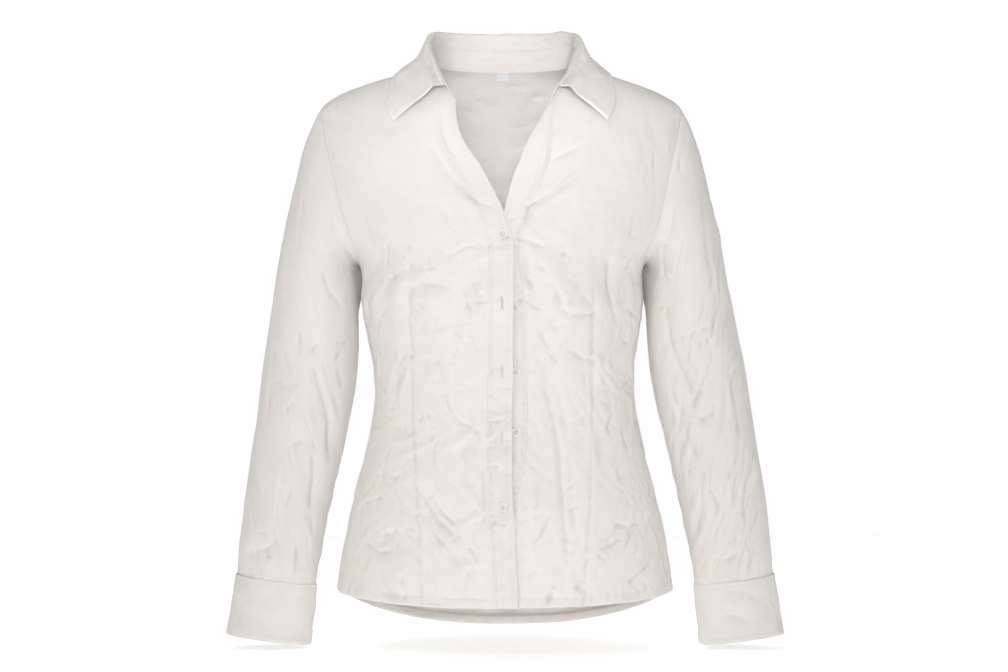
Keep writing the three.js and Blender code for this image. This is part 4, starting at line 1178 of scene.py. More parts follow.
def stitch_tree():
    """A run of stitches along a path."""
    name = "Run of stitches"
    if name in bpy.data.node_groups:
        return bpy.data.node_groups[name]
    sockets = [("Pitch", "NodeSocketFloat"), ("Length", "NodeSocketFloat"), ("Radius", "NodeSocketFloat"),
               ("Thread", "NodeSocketMaterial")]
    tree, start, end = new_tree(name, sockets)
    nodes, links = tree.nodes, tree.links
    resample = nodes.new("GeometryNodeResampleCurve")
    resample.mode = "LENGTH"
    links.new(start.outputs["Path"], resample.inputs["Curve"])
    links.new(start.outputs["Pitch"], resample.inputs["Length"])
    tangent = nodes.new("GeometryNodeInputTangent")
    align = nodes.new("FunctionNodeAlignRotationToVector")
    align.axis = "Z"
    links.new(tangent.outputs["Tangent"], align.inputs["Vector"])
    stitch = nodes.new("GeometryNodeMeshIcoSphere")
    stitch.inputs["Radius"].default_value = 1
    stitch.inputs["Subdivisions"].default_value = 1
    half = nodes.new("ShaderNodeMath")
    half.operation = "MULTIPLY"
    half.inputs[1].default_value = 0.5
    links.new(start.outputs["Length"], half.inputs[0])
    size = nodes.new("ShaderNodeCombineXYZ")
    links.new(start.outputs["Radius"], size.inputs["X"])
    links.new(start.outputs["Radius"], size.inputs["Y"])
    links.new(half.outputs["Value"], size.inputs["Z"])
    shape = nodes.new("GeometryNodeTransform")
    links.new(stitch.outputs["Mesh"], shape.inputs["Geometry"])
    links.new(size.outputs["Vector"], shape.inputs["Scale"])
    place = nodes.new("GeometryNodeInstanceOnPoints")
    links.new(resample.outputs["Curve"], place.inputs["Points"])
    links.new(shape.outputs["Geometry"], place.inputs["Instance"])
    links.new(align.outputs["Rotation"], place.inputs["Rotation"])
    return finish_tree(tree, start, end, place.outputs["Instances"])


def thread_tree():
    """A thread along a path."""
    name = "Sewn thread"
    if name in bpy.data.node_groups:
        return bpy.data.node_groups[name]
    tree, start, end = new_tree(name, [("Radius", "NodeSocketFloat"), ("Thread", "NodeSocketMaterial")])
    nodes, links = tree.nodes, tree.links
    circle = nodes.new("GeometryNodeCurvePrimitiveCircle")
    circle.inputs["Resolution"].default_value = 5
    links.new(start.outputs["Radius"], circle.inputs["Radius"])
    tube = nodes.new("GeometryNodeCurveToMesh")
    tube.inputs["Fill Caps"].default_value = True
    links.new(start.outputs["Path"], tube.inputs["Curve"])
    links.new(circle.outputs["Curve"], tube.inputs["Profile Curve"])
    return finish_tree(tree, start, end, tube.outputs["Mesh"])


def sew(name, paths, tree, values):
    """Runs a tree along paths of points in millimetres, and keeps the result as a plain mesh."""
    curve = bpy.data.curves.new(name + "_path", "CURVE")
    curve.dimensions = "3D"
    for path in paths:
        spline = curve.splines.new("POLY")
        spline.points.add(len(path) - 1)
        spline.points.foreach_set("co", np.concatenate([path * MM, np.ones((len(path), 1))], axis=1).ravel())
    guide = bpy.data.objects.new(name + "_path", curve)
    bpy.context.scene.collection.objects.link(guide)
    modifier = guide.modifiers.new("Sewing", "NODES")
    modifier.node_group = tree
    sockets = {s.name: s.identifier for s in tree.interface.items_tree if s.in_out == "INPUT"}
    for label, value in values.items():
        modifier[sockets[label]] = value
    evaluated = guide.evaluated_get(bpy.context.evaluated_depsgraph_get())
    mesh = bpy.data.meshes.new_from_object(evaluated)
    bpy.data.objects.remove(guide)
    mesh.name = name
    piece = bpy.data.objects.new(name, mesh)
    bpy.context.scene.collection.objects.link(piece)
    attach(piece, BODY)
    return piece


def stitches(name, paths):
    props = sizes()
    values = {
        "Pitch": props.stitch_pitch,
        "Length": props.stitch_pitch * STITCH_SHARE,
        "Radius": props.thread_radius,
        "Thread": thread_material(),
    }
    return sew(name, paths, stitch_tree(), values)


def laid(cloth, rows, columns, lift=STITCH_LIFT):
    """A path on a cloth's outer face."""
    points, normals = cloth.sample(rows, columns)
    return points + normals * lift


def laid_seen(cloth, path, facing=-1):
    """A path on a cloth, given as it is seen from the front or the back."""
    path = np.array(path, float)
    along = run_along(path)
    at = np.linspace(0, along[-1], max(2, int(along[-1] / PATH_STEP)))
    across, height = (np.interp(at, along, path[:, k]) for k in (0, 1))
    spots = [cloth.seen_at(x, z, facing) for x, z in zip(across, height)]
    return np.array([point + normal * STITCH_LIFT for point, normal in spots])


# ---- materials ----
BRIGHTEST = 0.98


def node(tree, kind, **values):
    made = tree.nodes.new(kind)
    for name, value in values.items():
        setattr(made, name, value)
    return made


def plain_math(tree, operation, a, b=0.0):
    made = node(tree, "ShaderNodeMath", operation=operation)
    for socket, value in zip(made.inputs, (a, b)):
        if isinstance(value, (int, float)):
            socket.default_value = value
        else:
            tree.links.new(value, socket)
    return made.outputs[0]


def start_material(name, colour, roughness, values):
    material = bpy.data.materials.new(name)
    material.use_nodes = True
    tree = material.node_tree
    shader = tree.nodes["Principled BSDF"]
    shader.inputs["Base Color"].default_value = (*colour, 1)
    shader.inputs["Roughness"].default_value = roughness
    for label, value in values.items():
        shader.inputs[label].default_value = value
    return material, tree, shader


def multiplied(tree, first, second):
    made = node(tree, "ShaderNodeVectorMath", operation="MULTIPLY")
    tree.links.new(first, made.inputs[0])
    tree.links.new(second, made.inputs[1])
    return made.outputs["Vector"]


def noise(tree, vector, scale, detail, roughness, distortion=0.0):
    made = node(tree, "ShaderNodeTexNoise")
    made.inputs["Scale"].default_value = scale
    made.inputs["Detail"].default_value = detail
    made.inputs["Roughness"].default_value = roughness
    made.inputs["Distortion"].default_value = distortion
    tree.links.new(vector, made.inputs["Vector"])
    return made.outputs["Fac"]


def stretched(tree, vector, x, y, z=1.0):
    made = node(tree, "ShaderNodeMapping")
    made.inputs["Scale"].default_value = (x, y, z)
    tree.links.new(vector, made.inputs["Vector"])
    return made.outputs["Vector"]


def tint(tree, factor, dark, light, low=0.3, high=0.7):
    made = node(tree, "ShaderNodeValToRGB")
    made.color_ramp.elements[0].position = low
    made.color_ramp.elements[1].position = high
    made.color_ramp.elements[0].color = (*dark, 1)
    made.color_ramp.elements[1].color = (*light, 1)
    tree.links.new(factor, made.inputs["Fac"])
    return made.outputs["Color"]


def bump(tree, height, distance, strength, under=None):
    made = node(tree, "ShaderNodeBump")
    made.inputs["Distance"].default_value = distance
    made.inputs["Strength"].default_value = strength
    tree.links.new(height, made.inputs["Height"])
    if under is not None:
        tree.links.new(under, made.inputs["Normal"])
    return made.outputs["Normal"]


def linen_material():
    """Light linen: a plain weave of uneven threads, slubs, soft crinkles and a dull, fuzzy surface."""
    name = "Crumpled linen"
    if name in bpy.data.materials:
        return bpy.data.materials[name]
    props = sizes()
    colour = np.array(props.linen_colour)
    material, tree, shader = start_material(name, colour, 0.88, {
        "Sheen Weight": 0.12,
        "Sheen Roughness": 0.5,
        "Specular IOR Level": 0.2,
        "Subsurface Weight": 0.35,
        "Subsurface Radius": (0.0036, 0.0034, 0.0031),
        "Subsurface Scale": 0.3,
    })
    grain = node(tree, "ShaderNodeUVMap", uv_map="Grain").outputs["UV"]
    body = node(tree, "ShaderNodeTexCoord").outputs["Object"]
    slub_down = noise(tree, stretched(tree, grain, 1400, 26), 1.0, 3, 0.6)
    slub_across = noise(tree, stretched(tree, grain, 26, 1400), 1.0, 3, 0.6)
    cloudy = noise(tree, body, 26, 4, 0.6)
    threads = plain_math(tree, "ADD", slub_down, slub_across)
    thread_share = plain_math(tree, "MULTIPLY", threads, 0.36)
    cloud_share = plain_math(tree, "MULTIPLY", cloudy, 0.28)
    mottled = plain_math(tree, "ADD", thread_share, cloud_share)
    shaded = tint(tree, mottled, colour * 0.965, np.minimum(colour * 1.015, BRIGHTEST), 0.38, 0.62)
    # painted shade: the base colour is darkened and warmed in the valleys of sharp creases, read from the
    # Fold attribute
    fold = node(tree, "ShaderNodeAttribute", attribute_name="Fold").outputs["Fac"]
    painted_crease_shade = tint(tree, fold, (1, 1, 1), (0.895, 0.878, 0.852), 0.1, 1.0)
    tree.links.new(multiplied(tree, shaded, painted_crease_shade), shader.inputs["Base Color"])
    split = node(tree, "ShaderNodeSeparateXYZ")
    tree.links.new(grain, split.inputs["Vector"])
    turns = 2 * math.pi / props.thread_spacing
    warp = plain_math(tree, "SINE", plain_math(tree, "MULTIPLY", split.outputs["X"], turns))
    weft = plain_math(tree, "SINE", plain_math(tree, "MULTIPLY", split.outputs["Y"], turns))
    weave = plain_math(tree, "MULTIPLY", warp, weft)
    uneven = plain_math(tree, "ADD", plain_math(tree, "MULTIPLY", weave, 0.3), threads)
    crinkle = noise(tree, stretched(tree, grain, 150, 62), 1.0, 5, 0.62, 0.5)
    folded = plain_math(tree, "ABSOLUTE", plain_math(tree, "SUBTRACT", crinkle, 0.5))
    broken = noise(tree, body, 105, 4, 0.6, 0.8)
    sharp = plain_math(tree, "ABSOLUTE", plain_math(tree, "SUBTRACT", broken, 0.5))
    soft = bump(tree, plain_math(tree, "ADD", folded, sharp), 0.0022, props.crinkle)
    woven = bump(tree, uneven, 0.00022, 0.6, soft)
    tree.links.new(woven, shader.inputs["Normal"])
    return material


def thread_material(name="Cotton thread", shade=(1, 1, 1)):
    if name in bpy.data.materials:
        return bpy.data.materials[name]
    colour = np.array(sizes().thread_colour) * shade
    material, tree, shader = start_material(name, colour, 0.75, {"Sheen Weight": 0.2})
    body = node(tree, "ShaderNodeTexCoord").outputs["Object"]
    ply = noise(tree, body, 2600, 2, 0.5)
    tree.links.new(tint(tree, ply, colour * 0.86, colour), shader.inputs["Base Color"])
    tree.links.new(bump(tree, ply, 0.0001, 0.5), shader.inputs["Normal"])
    return material


def button_material():
    name = "Pearly button"
    if name in bpy.data.materials:
        return bpy.data.materials[name]
    colour = np.array(sizes().button_colour)
    coat = {"Coat Weight": 0.1, "Coat Roughness": 0.2}
    material, tree, shader = start_material(name, colour, 0.42, coat)
    body = node(tree, "ShaderNodeTexCoord").outputs["Object"]
    layers = noise(tree, stretched(tree, body, 1, 3, 1), 240, 4, 0.6, 1.5)
    # painted highlight and shade: the raised rim keeps the button's colour while the dish and the underside
    # are darkened
    rim = node(tree, "ShaderNodeAttribute", attribute_name="RimHighlight").outputs["Fac"]
    layered = tint(tree, layers, colour * 0.93, np.minimum(colour * 1.03, BRIGHTEST))
    rim_highlight_dish_shade = tint(tree, rim, (0.77, 0.76, 0.74), (1, 1, 1), 0.05, 0.95)
    tree.links.new(multiplied(tree, layered, rim_highlight_dish_shade), shader.inputs["Base Color"])
    tree.links.new(bump(tree, layers, 0.00012, 0.3), shader.inputs["Normal"])
    return material


def label_material():
    name = "Woven label tape"
    if name in bpy.data.materials:
        return bpy.data.materials[name]
    colour = np.array(sizes().label_colour)
    material, tree, shader = start_material(name, colour, 0.5, {"Sheen Weight": 0.2})
    grain = node(tree, "ShaderNodeUVMap", uv_map="Grain").outputs["UV"]
    ribs = noise(tree, stretched(tree, grain, 200, 3200), 1.0, 2, 0.5)
    tree.links.new(tint(tree, ribs, colour * 0.94, colour), shader.inputs["Base Color"])
    tree.links.new(bump(tree, ribs, 0.0001, 0.5), shader.inputs["Normal"])
    return material


def floor_material(colour):
    colour = np.array(colour)
    material, tree, shader = start_material("Pale studio floor", colour, 0.9, {
        "Specular IOR Level": 0.1,
        "Emission Color": (1, 1, 1, 1),
        "Emission Strength": 0.55,
    })
    body = node(tree, "ShaderNodeTexCoord").outputs["Object"]
    faint = noise(tree, body, 3, 2, 0.5)
    tree.links.new(tint(tree, faint, colour * 0.995, colour), shader.inputs["Base Color"])
    return material


# ---- what the operators keep for each other ----
MADE = {}


def fronts_and_back():
    """The body's cloth, worked out once."""
    if "back" not in MADE:
        MADE["back"] = back_cloth()
        MADE["right"] = front_cloth("right")
        MADE["left"] = front_cloth("left")
    return {"right": MADE["right"], "left": MADE["left"]}, MADE["back"]


def hem_thickness(cloth, depth, single, double):
    """Cloth is doubled up to the depth at which a hem is turned."""
    return blend(double, single, smooth(run_along(cloth.points), depth, depth + 2))


def hem_rows(cloth, depth):
    """The fractional row at a distance above the hem, for each column."""
    rise = run_along(cloth.points)
    rows = np.arange(len(rise), dtype=float)
    return np.array([np.interp(depth, rise[:, c], rows) for c in range(rise.shape[1])])


def inside(cloth, rows, columns, depth):
    """A path behind a cloth's outer face."""
    return laid(cloth, rows, columns, -depth)


def hem_overcast(back):
    """The zigzag of darker thread that neatens the turned hem's upper edge, on the inside of the back."""
    along = run_along(back.points[0])
    places = np.arange(OVERCAST_MARGIN, along[-1] - OVERCAST_MARGIN, OVERCAST_PITCH / 2)
    columns = np.interp(places, along, np.arange(len(along), dtype=float))
    low, high = (
        np.interp(columns, np.arange(len(along)), hem_rows(back, HEM_DEPTH + shift * OVERCAST_WIDTH))
        for shift in (-0.3, 0.7)
    )
    rows = np.where(np.arange(len(columns)) % 2 == 0, low, high)
    values = {"Radius": OVERCAST_RADIUS * MM, "Thread": thread_material("Hem thread", (0.97, 0.9, 0.79))}
    return sew("back_hem_overcast", [inside(back, rows, columns, HEM_INSIDE)], thread_tree(), values)


def buttonholes(strip):
    """A close zigzag of thread round each upright slit of the right band."""
    paths = []
    heights = np.linspace(-0.5, 0.5, BUTTONHOLE_TEETH) * BUTTONHOLE_LENGTH
    teeth = np.where(np.arange(BUTTONHOLE_TEETH) % 2 == 0, 0.25, BUTTONHOLE_WIDTH / 2)
    for x, z in BUTTONHOLES:
        for way in (-1, 1):
            spots = [strip.seen_at(x + way * reach, z + height) for reach, height in zip(teeth, heights)]
            paths.append(np.array([point + normal * 0.2 for point, normal in spots]))
        for end in (-0.5, 0.5):
            bar = zip(np.linspace(-1.2, 1.2, 6), (0, 0.3, 0, 0.3, 0, 0.3))
            spots = [strip.seen_at(x + reach, z + end * BUTTONHOLE_LENGTH + lean) for reach, lean in bar]
            paths.append(np.array([point + normal * 0.25 for point, normal in spots]))
    values = {"Radius": BUTTONHOLE_RADIUS * MM, "Thread": thread_material()}
    return sew("buttonhole_threads", paths, thread_tree(), values)


def size(name, description, default, low, high):
    return bpy.props.FloatProperty(
        name=name, description=description, default=default, min=low, max=high, unit="LENGTH", precision=5)


def factor(name, description, default, high):
    return bpy.props.FloatProperty(
        name=name, description=description, default=default, min=0, max=high, subtype="FACTOR")


def paint(name, description, default):
    return bpy.props.FloatVectorProperty(
        name=name, description=description, default=default, min=0, max=1, size=3, subtype="COLOR")


class ShirtSizes(bpy.types.PropertyGroup):
    """Sizes and colours of the shirt."""

    cloth: size("Cloth", "Thickness of one layer of cloth", 0.0006, 0.0002, 0.0012)
    collar: size("Collar", "Thickness of the collar", 0.0015, 0.0006, 0.003)
    cuff: size("Cuff", "Thickness of the cuffs", 0.0018, 0.0008, 0.003)
    crease: factor("Creases", "Depth of the creases set by hand", 2.3, 5)
    crumple: factor("Crumples", "Depth of the small crumples", 1.0, 3)
    crinkle: factor("Crinkles", "Strength of the finest crinkles", 0.2, 1)
    stitch_pitch: size("Stitch pitch", "From one stitch to the next", 0.0028, 0.001, 0.006)
    thread_radius: size("Thread radius", "Half the thickness of the thread", 0.00022, 0.0001, 0.0005)
    thread_spacing: size("Thread spacing", "Two threads of the weave", 0.0011, 0.0004, 0.003)
    linen_colour: paint("Linen", "Colour of the cloth", (0.79, 0.764, 0.73))
    thread_colour: paint("Thread", "Colour of the sewing thread", (0.78, 0.76, 0.73))
    button_colour: paint("Buttons", "Colour of the buttons", (0.88, 0.862, 0.835))
    label_colour: paint("Label", "Colour of the blank size label", (0.93, 0.93, 0.93))
    floor_colour: paint("Floor", "Colour of the studio floor", (0.93, 0.93, 0.93))


# ---- the stage, in metres ----
FLOOR_BELOW = 0.004
FLOOR_HALF_WIDTH = 6.0
FLOOR_FRONT = -4.0
WALL_BACK = 4.0
WALL_HEIGHT = 4.2
WALL_BEND = 1.2
WORLD_STRENGTH = 0.225
# name, place, the point it is aimed at, watts, width, height, and spread in degrees
LIGHTS = [
    ("Front top light", (-0.9, -1.4, 1.5), (0, 0, -0.05), 9.6, 0.5, 0.5, 180),
    ("Front light", (0.0, -2.9, 0.0), (0, 0, 0.1), 3.5, 0.5, 0.4, 54),
    ("Right side light", (1.9, -1.1, 0.2), (0, 0, -0.3), 2.7, 0.6, 0.8, 180),
    ("Neck light", (0.0, -2.0, 0.15), (0, 0.05, -0.03), 0.056, 0.14, 0.1, 12),
    ("Hem light", (0.0, -2.0, -0.62), (0, 0.05, -0.64), 0.095, 0.3, 0.1, 20),
    ("Back light", (0.0, 1.15, 0.1), (0, 0, -0.3), 5, 0.5, 0.9, 180),
]
CAMERA_PLACE = (0, -2.8, -0.29)
CAMERA_LENS = 90.9
CAMERA_SENSOR = 36


class SHIRT_OT_stage(bpy.types.Operator):
    """Set up the pale floor, the soft lights and the camera"""

    bl_idname = "shirt.stage"
    bl_label = "Stage, lights and camera"

    def execute(self, context):
        scene = context.scene
        drop = CAD_BOX[0][2] - FLOOR_BELOW
        bend_start = WALL_BACK - WALL_BEND
        profile = [(FLOOR_FRONT, drop), (bend_start, drop)]
        for a in np.linspace(0.1, 1.57, 14):
            profile.append((bend_start + WALL_BEND * math.sin(a), drop + WALL_BEND * (1 - math.cos(a))))
        profile.append((WALL_BACK, drop + WALL_HEIGHT))
        points = [(x, y, z) for x in (-FLOOR_HALF_WIDTH, FLOOR_HALF_WIDTH) for y, z in profile]
        count = len(profile)
        faces = [(k, count + k, count + k + 1, k + 1) for k in range(count - 1)]
        pale = floor_material(scene.shirt_sizes.floor_colour)
        floor = link_mesh("studio_floor", np.array(points) / MM, faces, pale)
        world = bpy.data.worlds.new("Soft studio")
        scene.world = world
        world.use_nodes = True
        background = world.node_tree.nodes["Background"]
        background.inputs["Color"].default_value = (1, 1, 1, 1)
        background.inputs["Strength"].default_value = WORLD_STRENGTH
        for name, place, aim, power, width, height, spread in LIGHTS:
            light = bpy.data.lights.new(name, "AREA")
            light.shape = "RECTANGLE"
            light.size = width
            light.size_y = height
            light.energy = power
            light.spread = math.radians(spread)
            lamp = bpy.data.objects.new(name, light)
            lamp.location = place
            lamp.rotation_euler = (Vector(aim) - Vector(place)).to_track_quat("-Z", "Y").to_euler()
            lamp.visible_camera = False
            scene.collection.objects.link(lamp)
        camera = bpy.data.cameras.new("Front view")
        camera.sensor_width = CAMERA_SENSOR
        camera.lens = CAMERA_LENS
        camera.clip_end = 60
        eye = bpy.data.objects.new("Front view", camera)
        eye.location = CAMERA_PLACE
        eye.rotation_euler = (math.radians(90), 0, 0)
        scene.collection.objects.link(eye)
        scene.camera = eye
        scene.view_settings.view_transform = "Standard"
        return {"FINISHED"}


class SHIRT_OT_body(bpy.types.Operator):
    """Make the back and the two fronts, with their hems, darts and stitched lines"""

    bl_idname = "shirt.body"
    bl_label = "Back and fronts"

    def execute(self, context):
        props = context.scene.shirt_sizes
        fronts, back = fronts_and_back()
        single = props.cloth / MM
        hem_row = hem_rows(back, HEM_DEPTH)
        every = np.arange(back.points.shape[1], dtype=float)
        hems = [laid(back, hem_row, every), inside(back, hem_row, every, HEM_THICKNESS)]
        darts = [laid_seen(back, path, facing=1) for path in BACK_DARTS]
        sewing = stitches("back_stitches", hems + darts)
        thickness = hem_thickness(back, HEM_DEPTH + 1, single, HEM_THICKNESS)
        piece = shell("back_panel", back, thickness, linen_material())
        declare(piece, back, "back", with_pieces=[sewing, hem_overcast(back)])
        for hand, front in fronts.items():
            every = np.arange(BAND_COLUMNS, front.points.shape[1], dtype=float)
            hem_row = hem_rows(front, HEM_DEPTH)[BAND_COLUMNS:]
            paths = [laid(front, hem_row, every), laid_seen(front, DARTS[hand])]
            sewing = stitches(f"front_{hand}_stitches", paths)
            thickness = hem_thickness(front, HEM_DEPTH + 1, single, HEM_THICKNESS)
            piece = shell(f"front_{hand}_panel", front, thickness, linen_material())
            declare(piece, front, f"front_{hand}", with_pieces=[sewing])
        return {"FINISHED"}


class SHIRT_OT_bands(bpy.types.Operator):
    """Make the folded bands beside the opening, with their stitches and buttonholes"""

    bl_idname = "shirt.bands"
    bl_label = "Front bands and buttonholes"

    def execute(self, context):
        fronts, _ = fronts_and_back()
        for hand, front in fronts.items():
            banded = slice(BAND_COLUMNS + 1)
            normals = front.normals[:, banded]
            points = front.points[:, banded] + normals * BAND_LAYER
            strip = Cloth(points, normals, tuple(grain[:, banded] for grain in front.grain))
            rows = np.arange(1, len(strip.points) - 2, dtype=float)
            per_mm = BAND_COLUMNS / BAND_WIDTH
            paths = [laid(strip, rows, per_mm * reach) for reach in BAND_STITCHES]
            sewing = [stitches(f"band_{hand}_stitches", paths)]
            if hand == "right":
                sewing.append(buttonholes(strip))
            piece = shell(f"band_{hand}_strip", strip, BAND_LAYER - BAND_GAP, linen_material())
            declare(piece, strip, f"band_{hand}", with_pieces=sewing)
        return {"FINISHED"}


class SHIRT_OT_sleeves(bpy.types.Operator):
    """Make the two sleeves"""

    bl_idname = "shirt.sleeves"
    bl_label = "Sleeves"

    def execute(self, context):
        fronts, back = fronts_and_back()
        thickness = context.scene.shirt_sizes.cloth / MM
        for hand, side in (("right", -1), ("left", 1)):
            sleeve = sleeve_cloth(side, fronts[hand], back)
            piece = shell(f"sleeve_{hand}_cloth", sleeve, thickness, linen_material())
            declare(piece, sleeve, f"sleeve_{hand}")
        return {"FINISHED"}


class SHIRT_OT_cuffs(bpy.types.Operator):
    """Make the two cuffs with their edge stitches"""

    bl_idname = "shirt.cuffs"
    bl_label = "Cuffs"

    def execute(self, context):
        thickness = context.scene.shirt_sizes.cuff / MM
        for hand, side in (("right", -1), ("left", 1)):
            cuff = cuff_cloth(side)
            MADE["cuff_" + hand] = cuff
            rows, columns = cuff.points.shape[:2]
            every = np.arange(2, columns - 2, dtype=float)
            edge = CUFF_STITCH / CUFF_DEPTH * (rows - 1)
            paths = [laid(cuff, edge, every), laid(cuff, rows - 1 - edge, every)]
            down = np.arange(2, rows - 2, dtype=float)
            paths.append(laid(cuff, down, columns - 3.5))
            sewing = stitches(f"cuff_{hand}_stitches", paths)
            piece = shell(f"cuff_{hand}_cloth", cuff, thickness, linen_material())
            declare(piece, cuff, f"cuff_{hand}", with_pieces=[sewing])
        return {"FINISHED"}


class SHIRT_OT_collar(bpy.types.Operator):
    """Make the collar's stand and leaf"""

    bl_idname = "shirt.collar"
    bl_label = "Collar"

    def execute(self, context):
        thickness = context.scene.shirt_sizes.collar / MM
        fronts, back = fronts_and_back()
        stand = stand_cloth(fronts, back)
        leaf = leaf_cloth(fronts, back)
        columns = stand.points.shape[1]
        every = np.arange(1, columns - 1, dtype=float)
        sewing = stitches("collar_stand_stitches", [laid(stand, row, every) for row in STAND_STITCHES])
        piece = shell("collar_stand_cloth", stand, thickness, linen_material())
        declare(piece, stand, "collar_stand", with_pieces=[sewing])
        rows = np.arange(leaf.points.shape[0])
        up = run_along(leaf.points)
        low = np.array([np.interp(up[-1, c] - COLLAR_STITCH, up[:, c], rows) for c in range(columns)])
        along = run_along(leaf.points[-1])
        start = float(np.interp(COLLAR_STITCH, along, np.arange(columns)))
        end = float(np.interp(along[-1] - COLLAR_STITCH, along, np.arange(columns)))
        inner = np.arange(math.ceil(start), math.floor(end) + 1, dtype=float)
        fall = np.linspace(20, float(low[int(start)]), 24)
        paths = [laid(leaf, low[inner.astype(int)], inner), laid(leaf, fall, start), laid(leaf, fall, end)]
        sewing = stitches("collar_leaf_stitches", paths)
        piece = shell("collar_leaf_cloth", leaf, thickness, linen_material())
        declare(piece, leaf, "collar_leaf", with_pieces=[sewing], held="folded")
        return {"FINISHED"}


# ---- the label, in millimetres ----
LABEL_WIDTH = 13.6
LABEL_HEIGHT = 10
LABEL_THICKNESS = 0.45
LABEL_INWARDS = 2.3


class SHIRT_OT_label(bpy.types.Operator):
    """Make the blank size label inside the back of the neck"""

    bl_idname = "shirt.label"
    bl_label = "Blank size label"

    def execute(self, context):
        low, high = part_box("neck_label")
        middle = np.array([(low[0] + high[0]) / 2, 0, high[2] + 0.0035 - LABEL_HEIGHT * MM / 2]) / MM
        _, back = fronts_and_back()
        u = np.linspace(-0.5, 0.5, 17)
        v = np.linspace(0.5, -0.5, 13)
        grid = np.zeros((len(v), len(u), 3))
        for r, down in enumerate(v):
            for c, across in enumerate(u):
                x, z = middle[0] + across * LABEL_WIDTH, middle[2] + down * LABEL_HEIGHT
                point, normal = back.seen_at(x, z, facing=1)
                curl = 0.7 * (0.5 - down) ** 2 + 0.25 * math.sin(3 * across + 1)
                grid[r, c] = point - normal * (LABEL_INWARDS + curl)
        normals = grid_normals(grid)
        if normals[len(v) // 2, len(u) // 2, 1] > 0:
            normals = -normals
        grain = (u[None] * LABEL_WIDTH + 0 * v[:, None], v[:, None] * LABEL_HEIGHT + 0 * u[None])
        tape = Cloth(grid, normals, grain)
        piece = shell("neck_label_tape", tape, LABEL_THICKNESS, label_material())
        edge = stitches("neck_label_stitches", [laid(tape, 0.8, np.linspace(0.5, 15.5, 9), 0.1)])
        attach(piece, BODY)
        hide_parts("neck_label")
        return {"FINISHED"}


# ---- buttons, in millimetres ----
BUTTON_FACE = 1.25
DISH_RADIUS = 2.9
DISH_DEPTH = 0.22
# radius and height, from the dish over the rim to the back
BUTTON_RIM = [
    (3.4, 1.55), (3.8, 1.9), (4.2, 2.08), (4.6, 2.0), (4.95, 1.65), (5.1, 1.15), (4.95, 0.6), (4.4, 0.15),
    (3.6, 0.0),
]
BUTTON_SIDES = 56
DISH_RINGS = 15
HOLE_RING = 1.15
HOLE_DEPTH = 0.95
HOLE_EDGE = (0.42, 0.68)
# between these heights the raised rim keeps a painted highlight; below them the dish and the underside are
# darkened as painted shade
RIM_HIGHLIGHT_FROM = 1.35
RIM_HIGHLIGHT_TO = 1.85
BUTTON_THREAD_RADIUS = 0.17
BUTTON_THREAD_SHIFT = 0.12


def button_mesh(name, centre, normal, spin):
    """A four-hole button: a dished face inside a round rim, and a thread crossing between its holes."""
    profile = [(r, BUTTON_FACE) for r in np.linspace(0.2, DISH_RADIUS, DISH_RINGS)] + BUTTON_RIM
    around = BUTTON_SIDES
    angles = np.arange(around) * 2 * math.pi / around
    holes = [(HOLE_RING * math.cos(a), HOLE_RING * math.sin(a)) for a in np.radians([45, 135, 225, 315])]
    points = []
    for r, z in profile:
        for a in angles:
            x, y = r * math.cos(a), r * math.sin(a)
            sunk, dish = 0, 0
            if z == BUTTON_FACE:
                near = min(math.hypot(x - hx, y - hy) for hx, hy in holes)
                sunk = HOLE_DEPTH * (1 - float(smooth(near, *HOLE_EDGE)))
                dish = DISH_DEPTH * (1 - min(r / DISH_RADIUS, 1) ** 2)
            points.append((x, y, z - sunk - dish))
    top, base = len(points), len(points) + 1
    points += [(0, 0, BUTTON_FACE - DISH_DEPTH), (0, 0, 0)]
    faces = [(top, k, (k + 1) % around) for k in range(around)]
    last = (len(profile) - 1) * around
    for low in range(0, last, around):
        high = low + around
        faces += [(low + k, high + k, high + (k + 1) % around, low + (k + 1) % around) for k in range(around)]
    faces += [(last + k, base, last + (k + 1) % around) for k in range(around)]
    turn = Vector(normal).to_track_quat("Z", "Y").to_matrix()
    cosine, sine = math.cos(spin), math.sin(spin)
    spun = np.array(turn) @ np.array([[cosine, -sine, 0], [sine, cosine, 0], [0, 0, 1]])
    placed = np.array(points) @ spun.T + centre
    piece = link_mesh(name, placed, faces, button_material())
    # the mask of the painted rim highlight: 1 on the raised rim, 0 on the dish and the underside
    rim = [float(smooth(z, RIM_HIGHLIGHT_FROM, RIM_HIGHLIGHT_TO)) for r, z in profile for a in angles] + [0, 0]
    piece.data.attributes.new("RimHighlight", "FLOAT", "POINT").data.foreach_set("value", rim)
    paths = []
    for a, b in ((0, 2), (1, 3)):
        for shift in (-BUTTON_THREAD_SHIFT, BUTTON_THREAD_SHIFT):
            (x0, y0), (x1, y1) = holes[a], holes[b]
            arc = [
                (blend(x0, x1, t) + shift, blend(y0, y1, t) + shift * (1 if a else -1),
                 0.55 + 0.95 * math.sin(math.pi * t) ** 0.5)
                for t in np.linspace(0, 1, 9)
            ]
            paths.append(np.array(arc) @ spun.T + centre)
    values = {"Radius": BUTTON_THREAD_RADIUS * MM, "Thread": thread_material()}
    sew(name + "_thread", paths, thread_tree(), values)
    return piece


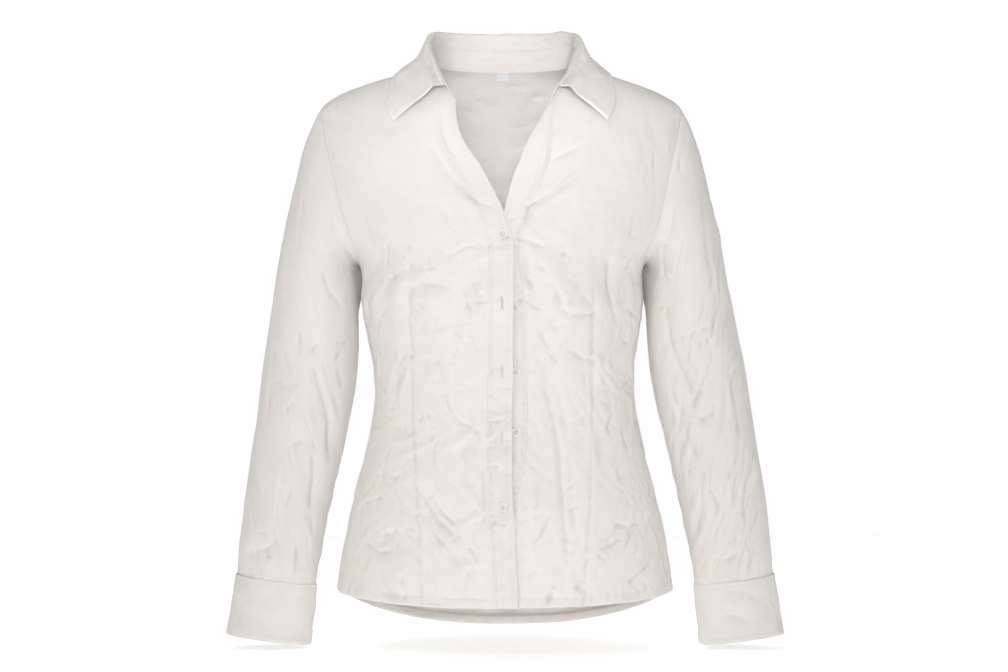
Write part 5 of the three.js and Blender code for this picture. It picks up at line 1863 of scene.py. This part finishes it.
class SHIRT_OT_buttons(bpy.types.Operator):
    """Make the front and cuff buttons, each sewn on with crossed threads"""

    bl_idname = "shirt.buttons"
    bl_label = "Buttons"

    def execute(self, context):
        fronts, _ = fronts_and_back()
        for k, (name, (x, z, hand)) in enumerate(BUTTON_PLACES.items()):
            point, _ = fronts[hand].seen_at(x, z)
            normal = outward(turn_at(x - HANG("x", z), z), z)
            self.set(name, point + normal * 1.0, normal, 0.35 * k)
        for hand in ("right", "left"):
            cuff = MADE["cuff_" + hand]
            overlap = cuff.points[:, -20:]
            low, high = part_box("cuff_button_" + hand)
            middle = (np.array(low) + np.array(high)) / 2 / MM
            away = np.linalg.norm(overlap - middle, axis=-1)
            row, column = np.unravel_index(np.argmin(away), away.shape)
            normal = cuff.normals[:, -20:][row, column]
            self.set("cuff_button_" + hand, overlap[row, column] + normal * 0.3, normal, 0.5)
        return {"FINISHED"}

    def set(self, name, centre, normal, spin):
        piece = button_mesh(name + "_disc", centre, normal, spin)
        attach(piece, BODY)
        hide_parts(name)


class SHIRT_PT_sidebar(bpy.types.Panel):
    """Lists the shirt's pieces and sizes"""

    bl_label = "Crumpled shirt"
    bl_idname = "SHIRT_PT_sidebar"
    bl_space_type = "VIEW_3D"
    bl_region_type = "UI"
    bl_category = "Shirt"

    def draw(self, context):
        for operator in OPERATORS:
            self.layout.operator(operator.bl_idname)
        for name in ShirtSizes.__annotations__:
            self.layout.prop(context.scene.shirt_sizes, name)


OPERATORS = (
    SHIRT_OT_stage, SHIRT_OT_body, SHIRT_OT_bands, SHIRT_OT_sleeves, SHIRT_OT_cuffs, SHIRT_OT_collar,
    SHIRT_OT_label, SHIRT_OT_buttons,
)


def register():
    for made in (ShirtSizes, *OPERATORS, SHIRT_PT_sidebar):
        bpy.utils.register_class(made)
    bpy.types.Scene.shirt_sizes = bpy.props.PointerProperty(type=ShirtSizes)


def unregister():
    del bpy.types.Scene.shirt_sizes
    for made in reversed((ShirtSizes, *OPERATORS, SHIRT_PT_sidebar)):
        bpy.utils.unregister_class(made)


def main():
    register()
    for operator in OPERATORS:
        group, name = operator.bl_idname.split(".")
        getattr(getattr(bpy.ops, group), name)()


if __name__ == "__main__":
    main()
